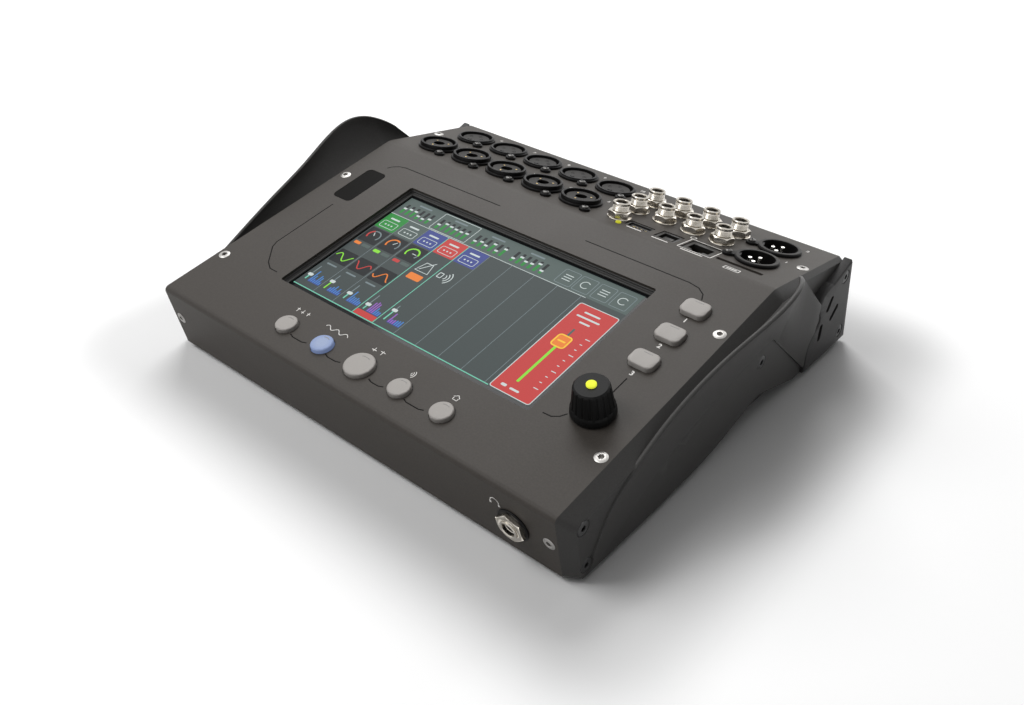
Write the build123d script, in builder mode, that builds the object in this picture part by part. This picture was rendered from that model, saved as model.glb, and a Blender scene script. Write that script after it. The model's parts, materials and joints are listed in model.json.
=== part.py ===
"""Compact touch-screen mixing desk: folded steel top between two moulded hand-grip cheeks.

Frame: origin on the desk surface, midway across and midway front to back.
+X right, +Y to the rear, +Z up, millimetres. Every control panel feature is placed as
(across, along) on its own sloping panel, where along is measured from the panel's front fold.
"""
from build123d import *
from math import atan2, cos, degrees, hypot, radians, sin, tan
import os

os.makedirs("parts", exist_ok=True)

# ---------------------------------------------------------------- driving dimensions
PANEL_WIDTH = 252.0          # folded steel top, from cheek to cheek
HALF = PANEL_WIDTH / 2       # places near a side are given as HALF less their distance from it
MAIN_LENGTH = 161.5          # control panel, front fold to crest
IO_LENGTH = 72.5             # socket panel, crest to rear fold
FRONT_LENGTH = 36.7          # front wall down its slope
MAIN_SLOPE = 10.0            # control panel rises to the rear
IO_SLOPE = 10.0              # socket panel falls to the rear
FRONT_LEAN = 11.0            # front wall leans in at the bottom
REAR_SETBACK = 11.5          # rear wall's foot stands behind its top
SHEET = 1.5                  # folded steel thickness
BASE_SHEET = 1.2             # base tray thickness
BASE_LIP = 9.0               # tray's front and rear lips, inside the folded top
FLANGE_DEPTH = 8.0           # tray's side flange that the folded top is screwed to
FOLD_RADIUS = 2.6            # front and rear folds, outside
CREST_RADIUS = 14.0          # soft fold between control and socket panels
FOOT_HEIGHT = 3.0
FOOT_RADIUS = 7.5
FOOT_TAPER = 8.0             # degrees, widening to the tray
FOOT_NUB = 2.5               # radius of the nub that holds a foot in the tray
FOOT_SIDE = 22.0             # feet in from the panel's sides
FOOT_FRONT = 32.0            # front feet behind the front fold
FOOT_REAR = 24.8             # rear feet ahead of the rear wall's foot

FIT = 0.3                    # gap round pieces that move or drop in
RUNNING = 0.05               # radial gap of a shaft in its bush

# cheeks
CHEEK_WALL = 6.8             # moulded wall outside the panel edge
CHEEK_EDGE = 5.5             # how far the bevel round the cheek falls below the panels
CHEEK_FRONT_EDGE = 4.0       # the same on the front wall
CHEEK_REAR_EDGE = 1.0
WING_LIP = 2.2               # width of the wing's rounded rim
WING_ROOT = 6.0              # how far the finger gutter dips below the panel
RIM_STEP = 1.0               # least width from the gutter's root to the rim
RIM_DROP = 0.4               # rim's inner edge below its top
GUTTER_SAG = 0.11            # gutter's hollow, as a share of its height
CHEEK_CORNER = 1.5           # cheek's lower corners
REAR_FLAT = 2.5              # cheek wall left beside the socket panel
BRACKET_PROUD = 0.5          # bracket's outer face beyond the cheek's
BRACKET_GAP = 0.4            # seam round the bracket
ARCH_START = 66.0            # finger arch under the cheek, behind the front fold
ARCH_RAMP = 40.0             # length of the arch's flat start
ARCH_TOP = 11.0              # its highest point, ahead of the crest
ARCH_END = 42.4              # its rear end, ahead of the rear fold
ARCH_HEIGHT = 13.0
ARCH_KNEE = 2.0              # the arch's height where its long ramp starts
ARCH_RADII = (120.0, 8.0)

# display
WINDOW_LEFT = 46.5           # painted steel left of the window
WINDOW_RIGHT = 44.5
WINDOW = (PANEL_WIDTH - WINDOW_LEFT - WINDOW_RIGHT, 94.4)
WINDOW_CENTRE = ((WINDOW_LEFT - WINDOW_RIGHT) / 2, 85.5)
WINDOW_RADIUS = 1.5
GLASS_DEPTH = 4.0            # glass face below the panel's face
GLASS_THICK = 1.8
GLASS_MARGIN = 2.0           # glass beyond the window, all round
GASKET_MARGIN = 4.5
GASKET_LIP = 2.2             # gasket's inner edge inside the window
GASKET_STEP = 0.4            # the same on its upper half
MODULE_THICK = 5.7
CLAMP_WIDTH = 12.0
CLAMP_SHEET = 1.0
CLAMP_FOOT = 5.0
CLAMP_AT = (-36.0, 8.0)      # along the panel from the window's centre, ahead of the antenna

# buttons and keys
BUTTON_ALONG = 16.6
BUTTON_MID = 1.8
BUTTON_PITCH = 25.3
BUTTON_RADII = (5.5, 5.5, 7.5, 5.5, 5.5)
BUTTON_PROUD = 2.0
BUTTON_LIP = 1.2             # retaining flange under the sheet, wider than the cap
FLANGE_THICK = 1.2
STEM_RADIUS = 2.0
PRESS_TRAVEL = 0.8
KEY_ACROSS = HALF - 21.6
KEY_FIRST = 89.4
KEY_PITCH = 20.1
KEY_COUNT = 3
KEY_SIZE = (13.2, 10.2)
KEY_RADIUS = 3.2
KEY_PROUD = 2.4
CAP_CHAMFER = 0.6
BOARD_DEPTH = 10.0           # control board's top face below the panel's face
BOARD_THICK = 1.6
SWITCH_SIZE = 6.0
SWITCH_HEIGHT = 3.5
PLUNGER_RADIUS = 1.7
PLUNGER_HEIGHT = 1.0

# encoder
KNOB_AT = (HALF - 21.5, 53.0)
KNOB_HEIGHT = 16.0
KNOB_SKIRT_RADIUS = 10.0
KNOB_SKIRT_HEIGHT = 4.0
KNOB_BODY_RADIUS = 9.2
KNOB_TOP_RADIUS = 7.9
KNOB_CHAMFER = 0.9           # round the knob's top
SKIRT_DRAFT = 0.3            # skirt's slope above and below its widest ring
SKIRT_RING = 0.8             # height of that ring above the skirt's foot
SKIRT_NECK = 0.6             # height of the step from the skirt to the body
KNOB_LIFT = 0.6              # gap between skirt and panel
KNOB_CAVITY = (7.4, 7.0)     # radius and height of the hollow over the nut
KNOB_FLUTES = 18
FLUTE_RADIUS = 0.8
FLUTE_OUT = 0.3              # flute's axis beyond the knob's side
DOT_RADIUS = 2.25
DOT_THICK = 1.2
DOT_PROUD = 0.2
SHAFT_RADIUS = 3.0
SHAFT_TOP = 12.5             # above the panel
SHAFT_ROUND = 0.5            # full round shaft above the bush, below the flat
SHAFT_BELOW = 3.7            # shaft below the sheet
BUSH_RADIUS = 4.5
BUSH_TOP = 5.0
ENCODER_SIZE = 12.0
NUT_FLATS = 11.0
NUT_THICK = 2.0

# antenna window
ANTENNA_AT = (19.2 - HALF, 119.0)
ANTENNA_SIZE = (13.5, 29.5)
ANTENNA_RADIUS = 3.0
ANTENNA_LIP = 2.0
ANTENNA_LIP_THICK = 1.0

# sockets, placed on the socket panel from the crest
MIC_FIRST = 23.1 - HALF
MIC_PITCH = 26.13
MIC_ROOM = 26.0              # least distance from a socket's middle to the first jack's
COMBO_ALONG = 17.7
MIC_ALONG = 50.6
IO_BOARD_DEPTH = 20.0        # board under the socket panel
XLR_RADIUS = 11.0
COMBO_BASE_RADIUS = 12.0
MIC_BASE_RADIUS = 11.6
XLR_BASE_THICK = 1.4
XLR_BORE = 9.5
XLR_INSERT = 8.0
XLR_GROOVE_DEPTH = 14.0
INSERT_DROP = 1.2            # insert's face below the rim
COMBO_PROUD = 3.6
MIC_PROUD = 2.2
EAR_AT = (10.2, -10.4)
EAR_RADIUS = 3.2
JACK_BORE = 3.25
JACK_BORE_DEPTH = 26.0
BORE_FLOOR = 1.0             # moulding left under a combination socket's bore
OUT_AT = ((HALF - 23.0, 25.9), (HALF - 23.0, 50.3))
OUT_RADIUS = 10.8
OUT_BASE_RADIUS = 11.1
OUT_PROUD = 1.8
OUT_BORE = 8.9
OUT_EAR_AT = (-13.2, -5.0)
PIN_RADIUS = 1.2
PIN_CIRCLE = 3.7
PIN_TURNS = (90, 180, 270)
PIN_TOP = 1.0                # pin tips below the rim
JACK_FIRST = HALF - 97.5
JACK_PITCH = 17.0
JACK_ALONG = (15.5, 32.5, 49.5)
JACK_COUNTS = (1, 4, 4)
JACK_BUSH = 4.5
JACK_TOP = 8.5
JACK_NECK = 4.1
JACK_BODY = 12.0
JACK_NUT_FLATS = 11.0
JACK_NUT_THICK = 3.0
JACK_NUT_BASE = 0.8          # washer under the nut
JACK_WASHER_RADIUS = 6.6
JACK_RING = 1.6              # wider ring at the bush's tip
USB_A_AT = (HALF - 83.3, 13.5)
USB_A_SIZE = (14.5, 7.0)
USB_A_MOUTH = (12.5, 5.1)
USB_A_DEPTH = 12.0
USB_A_TONGUE = (11.1, 1.8)
USB_A_TONGUE_AT = (0.0, 1.0)
USB_B_AT = (HALF - 66.2, 14.3)
USB_B_SIZE = (12.0, 10.8)
USB_B_MOUTH = (8.6, 7.9)
USB_B_DEPTH = 10.0
USB_B_TONGUE = (5.6, 3.2)
NET_AT = (HALF - 47.8, 14.8)
NET_SIZE = (16.0, 13.6)
NET_MOUTH = (11.8, 7.0)
NET_STEPS = ((6.2, 1.4), (3.6, 2.8))   # width and length of the latch's two steps
NET_DEPTH = 13.0
PORT_RADIUS = 0.6
CARD_AT = (HALF - 24.4, 11.0)
CARD_SIZE = (28.0, 4.6)
CARD_MOUTH = (24.6, 2.4)
CARD_DEPTH = 16.0
LIGHT_AT = (HALF - 93.0, 8.0)
LIGHT_RADIUS = 1.5
LIGHT_STEM_RADIUS = 1.0
LIGHT_PROUD = 0.8
SOCKET_FACE = 0.4            # data socket faces below the panel's face
TONGUE_BELOW = 0.8           # contact tongues below the sockets' faces

# front wall and rear wall
PHONES_AT = (HALF - 23.0, 20.0)        # across, down from the fold
PHONES_NUT_FLATS = 13.0
PHONES_NUT_THICK = 2.0
PHONES_TOP = 3.8
PHONES_DEPTH = 22.0
PHONES_BEZEL_RADIUS = 8.2
PHONES_BEZEL_THICK = 1.0
FRONT_REACH = 0.77           # headphone jack's ring stands this far ahead of the front fold
INLET_ACROSS = HALF - 30.0   # on the rear wall, towards the left cheek
POWER_ACROSS = HALF - 56.0
REAR_DOWN = 26.0             # inlet and power button, down from the rear fold
INLET_SIZE = 14.0
INLET_RADIUS = 0.8
INLET_LIP = 1.2              # flange outside the rear wall
INLET_BORE = 4.0
INLET_BORE_DEPTH = 9.0
INLET_PIN = 1.05
REAR_BODY_DEPTH = 13.0
POWER_RADIUS = 4.5
POWER_BEZEL = 6.5
POWER_PROUD = 3.0
POWER_TRAVEL = 1.5
POWER_BUTTON_DEPTH = 6.0
VENT_COUNT = 14
VENT_SIZE = (2.4, 22.0)
VENT_PITCH = 7.0
TRAY_VENT_ROWS = 60.0        # between the tray's two rows of vents

# fasteners
SILVER_HEAD = 3.0
SILVER_SHANK = 1.45
SILVER_LENGTH = 9.0
SILVER_RECESS = 0.9
SILVER_MAIN = ((HALF - 4.4, 35.3), (HALF - 4.4, 122.0))
SILVER_FRONT = (HALF - 4.6, 18.3)
SILVER_IO = (HALF - 4.0, 37.6)
BLACK_HEAD = 3.9
BLACK_SHANK = 1.9
BLACK_LENGTH = 12.0
BLACK_RECESS = 1.2
RECESS_SHARE = 0.45          # recess's corners, as a share of the head's radius
HEAD_HALF_ANGLE = 41.0       # half of the countersink's angle
HEAD_GAP = 0.1               # round a screw's shank and countersunk head
FRONT_SCREWS = ((9.8, -7.0), (13.6, -29.8))      # behind the front fold, above it
CREST_SCREWS = ((-14.5, -2.0),)                  # behind the crest, above the front fold
BRACKET_SCREWS = ((-5.4, -7.4), (2.1, -43.9))    # behind the rear fold, above it
EAR_SCREW_HEAD = 1.9
EAR_HEAD_THICK = 1.0
EAR_SCREW_SHANK = 1.1
EAR_SCREW_LENGTH = 6.0
BOSS_RADIUS = 4.0
BOSS_LENGTH = 5.0            # tray's bosses for the black screws

# boards inside
BOARD_SIDE = 18.0            # main board's sides, in from the panel's
BOARD_FRONT = 30.0           # its front edge, behind the front fold
BOARD_REAR = 9.0             # its rear edge, ahead of the crest
IO_BOARD_SIDE = 12.0
IO_BOARD_FRONT = 4.0         # socket board's front edge, behind the crest
IO_BOARD_REAR = 9.5          # its rear edge, ahead of the rear fold
BOARD_RADIUS = 2.0
POST_INSET = 8.0             # main board's standoffs, in from its edges
POST_EDGE = 3.0              # control board's standoffs, in from its edges
STANDOFF_HEIGHT = 6.0
STANDOFF_RADIUS = 2.75

# ---------------------------------------------------------------- derived planes
MAIN_RISE = MAIN_LENGTH * sin(radians(MAIN_SLOPE))
MAIN_RUN = MAIN_LENGTH * cos(radians(MAIN_SLOPE))
IO_FALL = IO_LENGTH * sin(radians(IO_SLOPE))
IO_RUN = IO_LENGTH * cos(radians(IO_SLOPE))
FRONT_DROP = FRONT_LENGTH * cos(radians(FRONT_LEAN))
FRONT_IN = FRONT_LENGTH * sin(radians(FRONT_LEAN))
DEPTH = MAIN_RUN + IO_RUN + REAR_SETBACK
FOLD_Y = (FRONT_REACH - DEPTH) / 2
FOLD_Z = FOOT_HEIGHT + FRONT_DROP

FRONT_FOOT = (FOLD_Y + FRONT_IN, FOOT_HEIGHT)
FRONT_FOLD = (FOLD_Y, FOLD_Z)
CREST = (FOLD_Y + MAIN_RUN, FOLD_Z + MAIN_RISE)
REAR_FOLD = (CREST[0] + IO_RUN, CREST[1] - IO_FALL)
REAR_FOOT = (REAR_FOLD[0] + REAR_SETBACK, FOOT_HEIGHT)
REAR_TILT = degrees(atan2(REAR_SETBACK, REAR_FOLD[1] - FOOT_HEIGHT))

MAIN = Plane(
    origin=(0, *FRONT_FOLD), x_dir=(1, 0, 0),
    z_dir=(0, -sin(radians(MAIN_SLOPE)), cos(radians(MAIN_SLOPE))),
)
SOCKETS = Plane(
    origin=(0, *CREST), x_dir=(1, 0, 0),
    z_dir=(0, sin(radians(IO_SLOPE)), cos(radians(IO_SLOPE))),
)
FRONT = Plane(
    origin=(0, *FRONT_FOLD), x_dir=(1, 0, 0),
    z_dir=(0, -cos(radians(FRONT_LEAN)), -sin(radians(FRONT_LEAN))),
)
REAR = Plane(
    origin=(0, *REAR_FOLD), x_dir=(-1, 0, 0),
    z_dir=(0, cos(radians(REAR_TILT)), sin(radians(REAR_TILT))),
)
SIDE = Plane.YZ

button_places = [(BUTTON_MID + BUTTON_PITCH * (i - 2), BUTTON_ALONG) for i in range(5)]
key_places = [(KEY_ACROSS, KEY_FIRST + KEY_PITCH * (KEY_COUNT - 1 - i)) for i in range(KEY_COUNT)]
mic_count = int((JACK_FIRST - MIC_ROOM - MIC_FIRST) / MIC_PITCH) + 1
mic_places = [(MIC_FIRST + MIC_PITCH * i, MIC_ALONG) for i in range(mic_count)]
combo_places = [(MIC_FIRST + MIC_PITCH * i, COMBO_ALONG) for i in range(mic_count)]
jack_rows = [
    [(JACK_FIRST + JACK_PITCH * i, along) for i in range(count)]
    for along, count in zip(JACK_ALONG, JACK_COUNTS)
]
jack_places = [place for row in jack_rows for place in row]


def moved(place, offset):
    """A place on a panel, shifted by an offset."""
    return (place[0] + offset[0], place[1] + offset[1])


def side_corners(front=0.0, main=0.0, io=0.0, rear=0.0, base=0.0):
    """Side profile corners (y, z) with each wall moved in by its own distance."""
    outer = [FRONT_FOOT, FRONT_FOLD, CREST, REAR_FOLD, REAR_FOOT]
    insets = [front, main, io, rear, base]
    walls = []
    for i, inset in enumerate(insets):
        y0, z0 = outer[i]
        y1, z1 = outer[(i + 1) % 5]
        run = hypot(y1 - y0, z1 - z0)
        along = ((y1 - y0) / run, (z1 - z0) / run)
        inward = (along[1], -along[0])
        walls.append((y0 + inward[0] * inset, z0 + inward[1] * inset, *along))
    corners = []
    for i in range(5):
        ya, za, ua, va = walls[i - 1]
        yb, zb, ub, vb = walls[i]
        step = ((yb - ya) * vb - (zb - za) * ub) / (ua * vb - va * ub)
        corners.append((ya + ua * step, za + va * step))
    return corners


def from_fold(points):
    """Side-view points measured from the front fold, put into the frame."""
    return [(FOLD_Y + along, FOLD_Z + up) for along, up in points]


def from_crest(points):
    """Side-view points behind the crest and above the front fold, put into the frame."""
    return [(CREST[0] + along, FOLD_Z + up) for along, up in points]


def from_rear(points):
    """Side-view points measured from the rear fold, put into the frame."""
    return [(REAR_FOLD[0] + along, REAR_FOLD[1] + up) for along, up in points]


def closed_profile(corners, radii):
    """Closed side profile with its corners rounded."""
    return FilletPolyline(*corners, radius=radii, close=True)


# screws that hold the folded top to the tray, and the cheeks to the tray's walls
edge_screws = [MAIN * Pos(side * x, v, 0) for x, v in SILVER_MAIN for side in (-1, 1)]
edge_screws += [SOCKETS * Pos(side * SILVER_IO[0], SILVER_IO[1], 0) for side in (-1, 1)]
edge_screws += [FRONT * Pos(side * SILVER_FRONT[0], -SILVER_FRONT[1], 0) for side in (-1, 1)]
cheek_screws = from_fold(FRONT_SCREWS) + from_crest(CREST_SCREWS)
bracket_screws = from_rear(BRACKET_SCREWS)
side_screws = cheek_screws + bracket_screws
ear_screws = [SOCKETS * Pos(*moved(place, EAR_AT), 0) for place in mic_places + combo_places]
ear_screws += [SOCKETS * Pos(*moved(place, OUT_EAR_AT), 0) for place in OUT_AT]


# ---------------------------------------------------------------- folded steel top
with BuildPart() as top_chassis:
    with BuildSketch(SIDE):
        with BuildLine():
            FilletPolyline(
                FRONT_FOOT, FRONT_FOLD, CREST, REAR_FOLD, REAR_FOOT,
                radius=[FOLD_RADIUS, CREST_RADIUS, FOLD_RADIUS],
            )
            offset(amount=SHEET, side=Side.RIGHT)
        make_face()
    extrude(amount=HALF, both=True)
    with BuildSketch(MAIN):
        with Locations(WINDOW_CENTRE):
            RectangleRounded(*WINDOW, WINDOW_RADIUS)
        for place, radius in zip(button_places, BUTTON_RADII):
            with Locations(place):
                Circle(radius + FIT)
        with Locations(*key_places):
            RectangleRounded(KEY_SIZE[0] + 2 * FIT, KEY_SIZE[1] + 2 * FIT, KEY_RADIUS + FIT)
        with Locations(KNOB_AT):
            Circle(BUSH_RADIUS + RUNNING)
        with Locations(ANTENNA_AT):
            RectangleRounded(ANTENNA_SIZE[0] + FIT, ANTENNA_SIZE[1] + FIT, ANTENNA_RADIUS)
    extrude(amount=-2 * SHEET, mode=Mode.SUBTRACT)
    with BuildSketch(SOCKETS):
        with Locations(*mic_places, *combo_places):
            Circle(XLR_RADIUS + RUNNING)
        with Locations(*OUT_AT):
            Circle(OUT_RADIUS + RUNNING)
        with Locations(*jack_places):
            Circle(JACK_BUSH + RUNNING)
        with Locations(LIGHT_AT):
            Circle(LIGHT_RADIUS + RUNNING)
        for place, size in ((USB_A_AT, USB_A_SIZE), (USB_B_AT, USB_B_SIZE), (NET_AT, NET_SIZE),
                            (CARD_AT, CARD_MOUTH)):
            with Locations(place):
                RectangleRounded(size[0] + FIT, size[1] + FIT, PORT_RADIUS)
    extrude(amount=-2 * SHEET, mode=Mode.SUBTRACT)
    with BuildSketch(FRONT):
        with Locations((PHONES_AT[0], -PHONES_AT[1])):
            Circle(JACK_BUSH + RUNNING)
    extrude(amount=-2 * SHEET, mode=Mode.SUBTRACT)
    with BuildSketch(REAR):
        with Locations((INLET_ACROSS, -REAR_DOWN)):
            RectangleRounded(INLET_SIZE + FIT, INLET_SIZE + FIT, INLET_RADIUS)
        with Locations((POWER_ACROSS, -REAR_DOWN)):
            Circle(POWER_BEZEL + RUNNING)
        with Locations((-INLET_SIZE, -REAR_DOWN)):
            with GridLocations(VENT_PITCH, 0, VENT_COUNT, 1):
                SlotCenterToCenter(VENT_SIZE[1] - VENT_SIZE[0], VENT_SIZE[0], rotation=90)
    extrude(amount=-2 * SHEET, mode=Mode.SUBTRACT)
    with Locations(*edge_screws):
        CounterSinkHole(SILVER_SHANK + HEAD_GAP, SILVER_HEAD + HEAD_GAP, depth=2 * SHEET)
    with Locations(*ear_screws):
        Hole(EAR_SCREW_SHANK + RUNNING, depth=2 * SHEET)
top_chassis.part.label = "top_chassis"
export_step(top_chassis.part, "parts/top_chassis.step")

# ---------------------------------------------------------------- base tray
FOOT_PLACES = [
    (x, y) for x in (FOOT_SIDE - HALF, HALF - FOOT_SIDE)
    for y in (FOLD_Y + FOOT_FRONT, REAR_FOOT[0] - FOOT_REAR)
]
BASE_TOP = FOOT_HEIGHT + BASE_SHEET

with BuildPart() as base_tray:
    front_in, *_, rear_in = side_corners(front=SHEET, rear=SHEET)
    lean = (-sin(radians(FRONT_LEAN)), cos(radians(FRONT_LEAN)))
    tilt = (-sin(radians(REAR_TILT)), cos(radians(REAR_TILT)))
    with BuildSketch(SIDE):
        with BuildLine():
            FilletPolyline(
                (front_in[0] + lean[0] * BASE_LIP, front_in[1] + lean[1] * BASE_LIP),
                front_in,
                rear_in,
                (rear_in[0] + tilt[0] * BASE_LIP, rear_in[1] + tilt[1] * BASE_LIP),
                radius=FOLD_RADIUS,
            )
            offset(amount=BASE_SHEET, side=Side.LEFT)
        make_face()
    extrude(amount=HALF, both=True)
    wall_corners = side_corners(SHEET, SHEET, SHEET, SHEET, 0.0)
    wall_radii = [FOLD_RADIUS, FOLD_RADIUS - SHEET, CREST_RADIUS - SHEET, FOLD_RADIUS - SHEET,
                  FOLD_RADIUS]
    for side in (-1, 1):
        with BuildSketch(SIDE.offset(side * HALF)):
            with BuildLine():
                closed_profile(wall_corners, wall_radii)
            make_face()
        extrude(amount=-side * BASE_SHEET)
        with BuildSketch(SIDE.offset(side * HALF)):
            with BuildLine():
                closed_profile(wall_corners, wall_radii)
            make_face()
            offset(amount=-BASE_SHEET, mode=Mode.SUBTRACT)
        extrude(amount=-side * FLANGE_DEPTH)
    with Locations(*[spot * Pos(0, 0, -SHEET) for spot in edge_screws]):
        Cylinder(BOSS_RADIUS, SILVER_LENGTH, align=(Align.CENTER, Align.CENTER, Align.MAX))
    with Locations(*[SIDE.offset(HALF) * Pos(*p, 0) for p in side_screws]):
        Cylinder(BOSS_RADIUS, BOSS_LENGTH, align=(Align.CENTER, Align.CENTER, Align.MAX))
    with Locations(*[SIDE.offset(-HALF) * Pos(*p, 0) for p in side_screws]):
        Cylinder(BOSS_RADIUS, BOSS_LENGTH, align=(Align.CENTER, Align.CENTER, Align.MIN))
    with Locations(*edge_screws):
        CounterSinkHole(SILVER_SHANK, SILVER_HEAD + HEAD_GAP, depth=SILVER_LENGTH)
    with Locations(*[SIDE * Pos(*p, 0) for p in side_screws]):
        Cylinder(BLACK_SHANK + RUNNING, 2 * PANEL_WIDTH, mode=Mode.SUBTRACT)
    with BuildSketch(Plane.XY.offset(FOOT_HEIGHT)):
        with GridLocations(VENT_PITCH, TRAY_VENT_ROWS, VENT_COUNT, 2):
            SlotCenterToCenter(VENT_SIZE[1] - VENT_SIZE[0], VENT_SIZE[0], rotation=90)
        with Locations(*FOOT_PLACES):
            Circle(FOOT_NUB + RUNNING)
    extrude(amount=BASE_SHEET, mode=Mode.SUBTRACT)
base_tray.part.label = "base_tray"
export_step(base_tray.part, "parts/base_tray.step")

with BuildPart() as rubber_feet:
    with BuildSketch():
        with Locations(*FOOT_PLACES):
            Circle(FOOT_RADIUS)
    extrude(amount=FOOT_HEIGHT, taper=FOOT_TAPER)
    with BuildSketch(Plane.XY.offset(FOOT_HEIGHT)):
        with Locations(*FOOT_PLACES):
            Circle(FOOT_NUB)
    extrude(amount=BASE_SHEET)
rubber_feet.part.label = "rubber_feet"
export_step(rubber_feet.part, "parts/rubber_feet.step")

# ---------------------------------------------------------------- moulded cheeks
CHEEK_FACE = HALF + CHEEK_WALL
# wing stations: distance behind the front fold (behind the crest in the second and third
# lists), rim beyond the cheek's face, rim and foot of its outer facet above the front fold
WING_NOSE = (
    (14.0, 0.7, -31.0, -35.6),
    (21.0, 0.7, -17.5, -34.4),
    (30.0, 0.8, -5.5, -29.5),
    (42.0, 0.9, 2.0, -22.6),
    (58.0, 1.2, 10.2, -14.0),
    (80.0, 2.8, 19.8, -5.2),
)
WING_PEAK = (
    (-54.0, 6.4, 28.6, -0.2),
    (-29.0, 11.4, 37.4, 2.6),
    (-14.0, 11.4, 41.2, 3.3),
    (-1.0, 6.6, 39.6, 3.4),
)
WING_FALL = (
    (10.0, 2.2, 33.0, -7.0),
    (25.0, 1.2, 19.0, -21.5),
    (40.0, 1.2, 4.4, -35.6),
)
wing_front = [*WING_NOSE, *[(MAIN_RUN + station[0], *station[1:]) for station in WING_PEAK]]
wing_rear = [wing_front[-1], *[(MAIN_RUN + station[0], *station[1:]) for station in WING_FALL]]
# the wing's cut-away tail, behind the crest and above the front fold
WING_TAIL = ((12.0, 60.0), (12.0, 31.0), (39.6, 4.6), (39.6, 3.2), (101.0, 3.2), (101.0, 60.0))
# the bracket's curled front edge down to the base, measured from the rear fold
BRACKET_EDGE = (
    (-17.8, -6.1), (-24.9, -7.1), (-30.2, -10.9), (-29.2, -18.0), (-27.2, -23.5),
    (-30.2, -27.5), (-34.6, -32.5), (-35.6, -40.5), (-34.8, FOOT_HEIGHT - REAR_FOLD[1]),
)


def panel_height(along):
    """Panel's height above the front fold at a distance behind it."""
    if along < MAIN_RUN:
        return along * MAIN_RISE / MAIN_RUN
    return MAIN_RISE - (along - MAIN_RUN) * IO_FALL / IO_RUN


def wing_section(along, out, rim, foot):
    """The wing's cross-section at one station."""
    rim_x = CHEEK_FACE + out
    root_x = HALF + CHEEK_WALL / 2
    inner_x = max(rim_x - WING_LIP, root_x + RIM_STEP)
    root = min(panel_height(along) - WING_ROOT, rim - WING_LIP)
    foot_out = (CHEEK_FACE + RUNNING, FOLD_Z + foot)
    rim_out = (rim_x, FOLD_Z + rim - 2 * RIM_DROP)
    rim_top = ((rim_x + inner_x) / 2, FOLD_Z + rim)
    rim_in = (inner_x, FOLD_Z + rim - RIM_DROP)
    sag_x = (inner_x + root_x) / 2 + GUTTER_SAG * (rim - root)
    sag_z = FOLD_Z + (rim + root) / 2 - GUTTER_SAG * (rim - root)
    with BuildSketch(Plane.XZ.offset(-(FOLD_Y + along))) as section:
        with BuildLine():
            Polyline((root_x, FOLD_Z + root), (root_x, FOLD_Z + foot), foot_out, rim_out)
            ThreePointArc(rim_out, rim_top, rim_in)
            ThreePointArc(rim_in, (sag_x, sag_z), (root_x, FOLD_Z + root))
        make_face()
    return section.sketch


with BuildPart() as right_cheek:
    edge_radii = [CHEEK_CORNER, FOLD_RADIUS, CREST_RADIUS, FOLD_RADIUS, CHEEK_CORNER]
    face_radii = [CHEEK_CORNER, FOLD_RADIUS, CREST_RADIUS - CHEEK_EDGE, FOLD_RADIUS, CHEEK_CORNER]
    with BuildSketch(SIDE.offset(HALF)):
        with BuildLine():
            closed_profile(side_corners(), edge_radii)
        make_face()
    with BuildSketch(SIDE.offset(CHEEK_FACE)):
        with BuildLine():
            closed_profile(
                side_corners(CHEEK_FRONT_EDGE, CHEEK_EDGE, CHEEK_EDGE, CHEEK_REAR_EDGE, 0.0),
                face_radii,
            )
        make_face()
    loft(ruled=True)
    loft([wing_section(*station) for station in wing_front])
    loft([wing_section(*station) for station in wing_rear])
    with BuildSketch(SIDE.offset(HALF + REAR_FLAT)):
        with BuildLine():
            Polyline(*from_crest(WING_TAIL), close=True)
        make_face()
    extrude(amount=4 * CHEEK_WALL, mode=Mode.SUBTRACT)
    with BuildSketch(SIDE.offset(HALF + REAR_FLAT)):
        with BuildLine():
            seat = from_rear([(along - BRACKET_GAP, up + BRACKET_GAP) for along, up in BRACKET_EDGE])
            Spline(*seat)
            Polyline(seat[-1], (seat[-1][0], 0), (DEPTH, 0), (DEPTH, FOLD_Z + MAIN_RISE),
                     (REAR_FOLD[0], REAR_FOLD[1] + BRACKET_GAP), seat[0])
        make_face()
    extrude(amount=4 * CHEEK_WALL, mode=Mode.SUBTRACT)
    arch_front = FOLD_Y + ARCH_START
    arch_rear = REAR_FOLD[0] - ARCH_END
    with BuildSketch(SIDE.offset(HALF)):
        with BuildLine():
            FilletPolyline(
                (arch_front, FOOT_HEIGHT),
                (arch_front + ARCH_RAMP, FOOT_HEIGHT + ARCH_KNEE),
                (CREST[0] - ARCH_TOP, FOOT_HEIGHT + ARCH_HEIGHT),
                (arch_rear, FOOT_HEIGHT),
                radius=ARCH_RADII,
            )
            Polyline((arch_rear, FOOT_HEIGHT), (arch_rear, 0), (arch_front, 0),
                     (arch_front, FOOT_HEIGHT))
        make_face()
    extrude(amount=4 * CHEEK_WALL, mode=Mode.SUBTRACT)
    with Locations(*[SIDE.offset(CHEEK_FACE) * Pos(*p, 0) for p in cheek_screws]):
        CounterSinkHole(BLACK_SHANK + HEAD_GAP, BLACK_HEAD + HEAD_GAP, depth=BLACK_LENGTH)
    with Locations(*[SIDE.offset(HALF + REAR_FLAT) * Pos(*p, 0) for p in bracket_screws]):
        Hole(BLACK_SHANK + HEAD_GAP, depth=BLACK_LENGTH)
right_cheek.part.label = "right_cheek"
export_step(right_cheek.part, "parts/right_cheek.step")

with BuildPart() as left_cheek:
    mirror(right_cheek.part, about=Plane.YZ)
left_cheek.part.label = "left_cheek"
export_step(left_cheek.part, "parts/left_cheek.step")

# ---------------------------------------------------------------- rear brackets
BRACKET_FACE = CHEEK_FACE + BRACKET_PROUD
SLOT_WIDTH = 3.4
SLOT_DEPTH = 2.4
BRACKET_CHAMFER = 0.8
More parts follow.
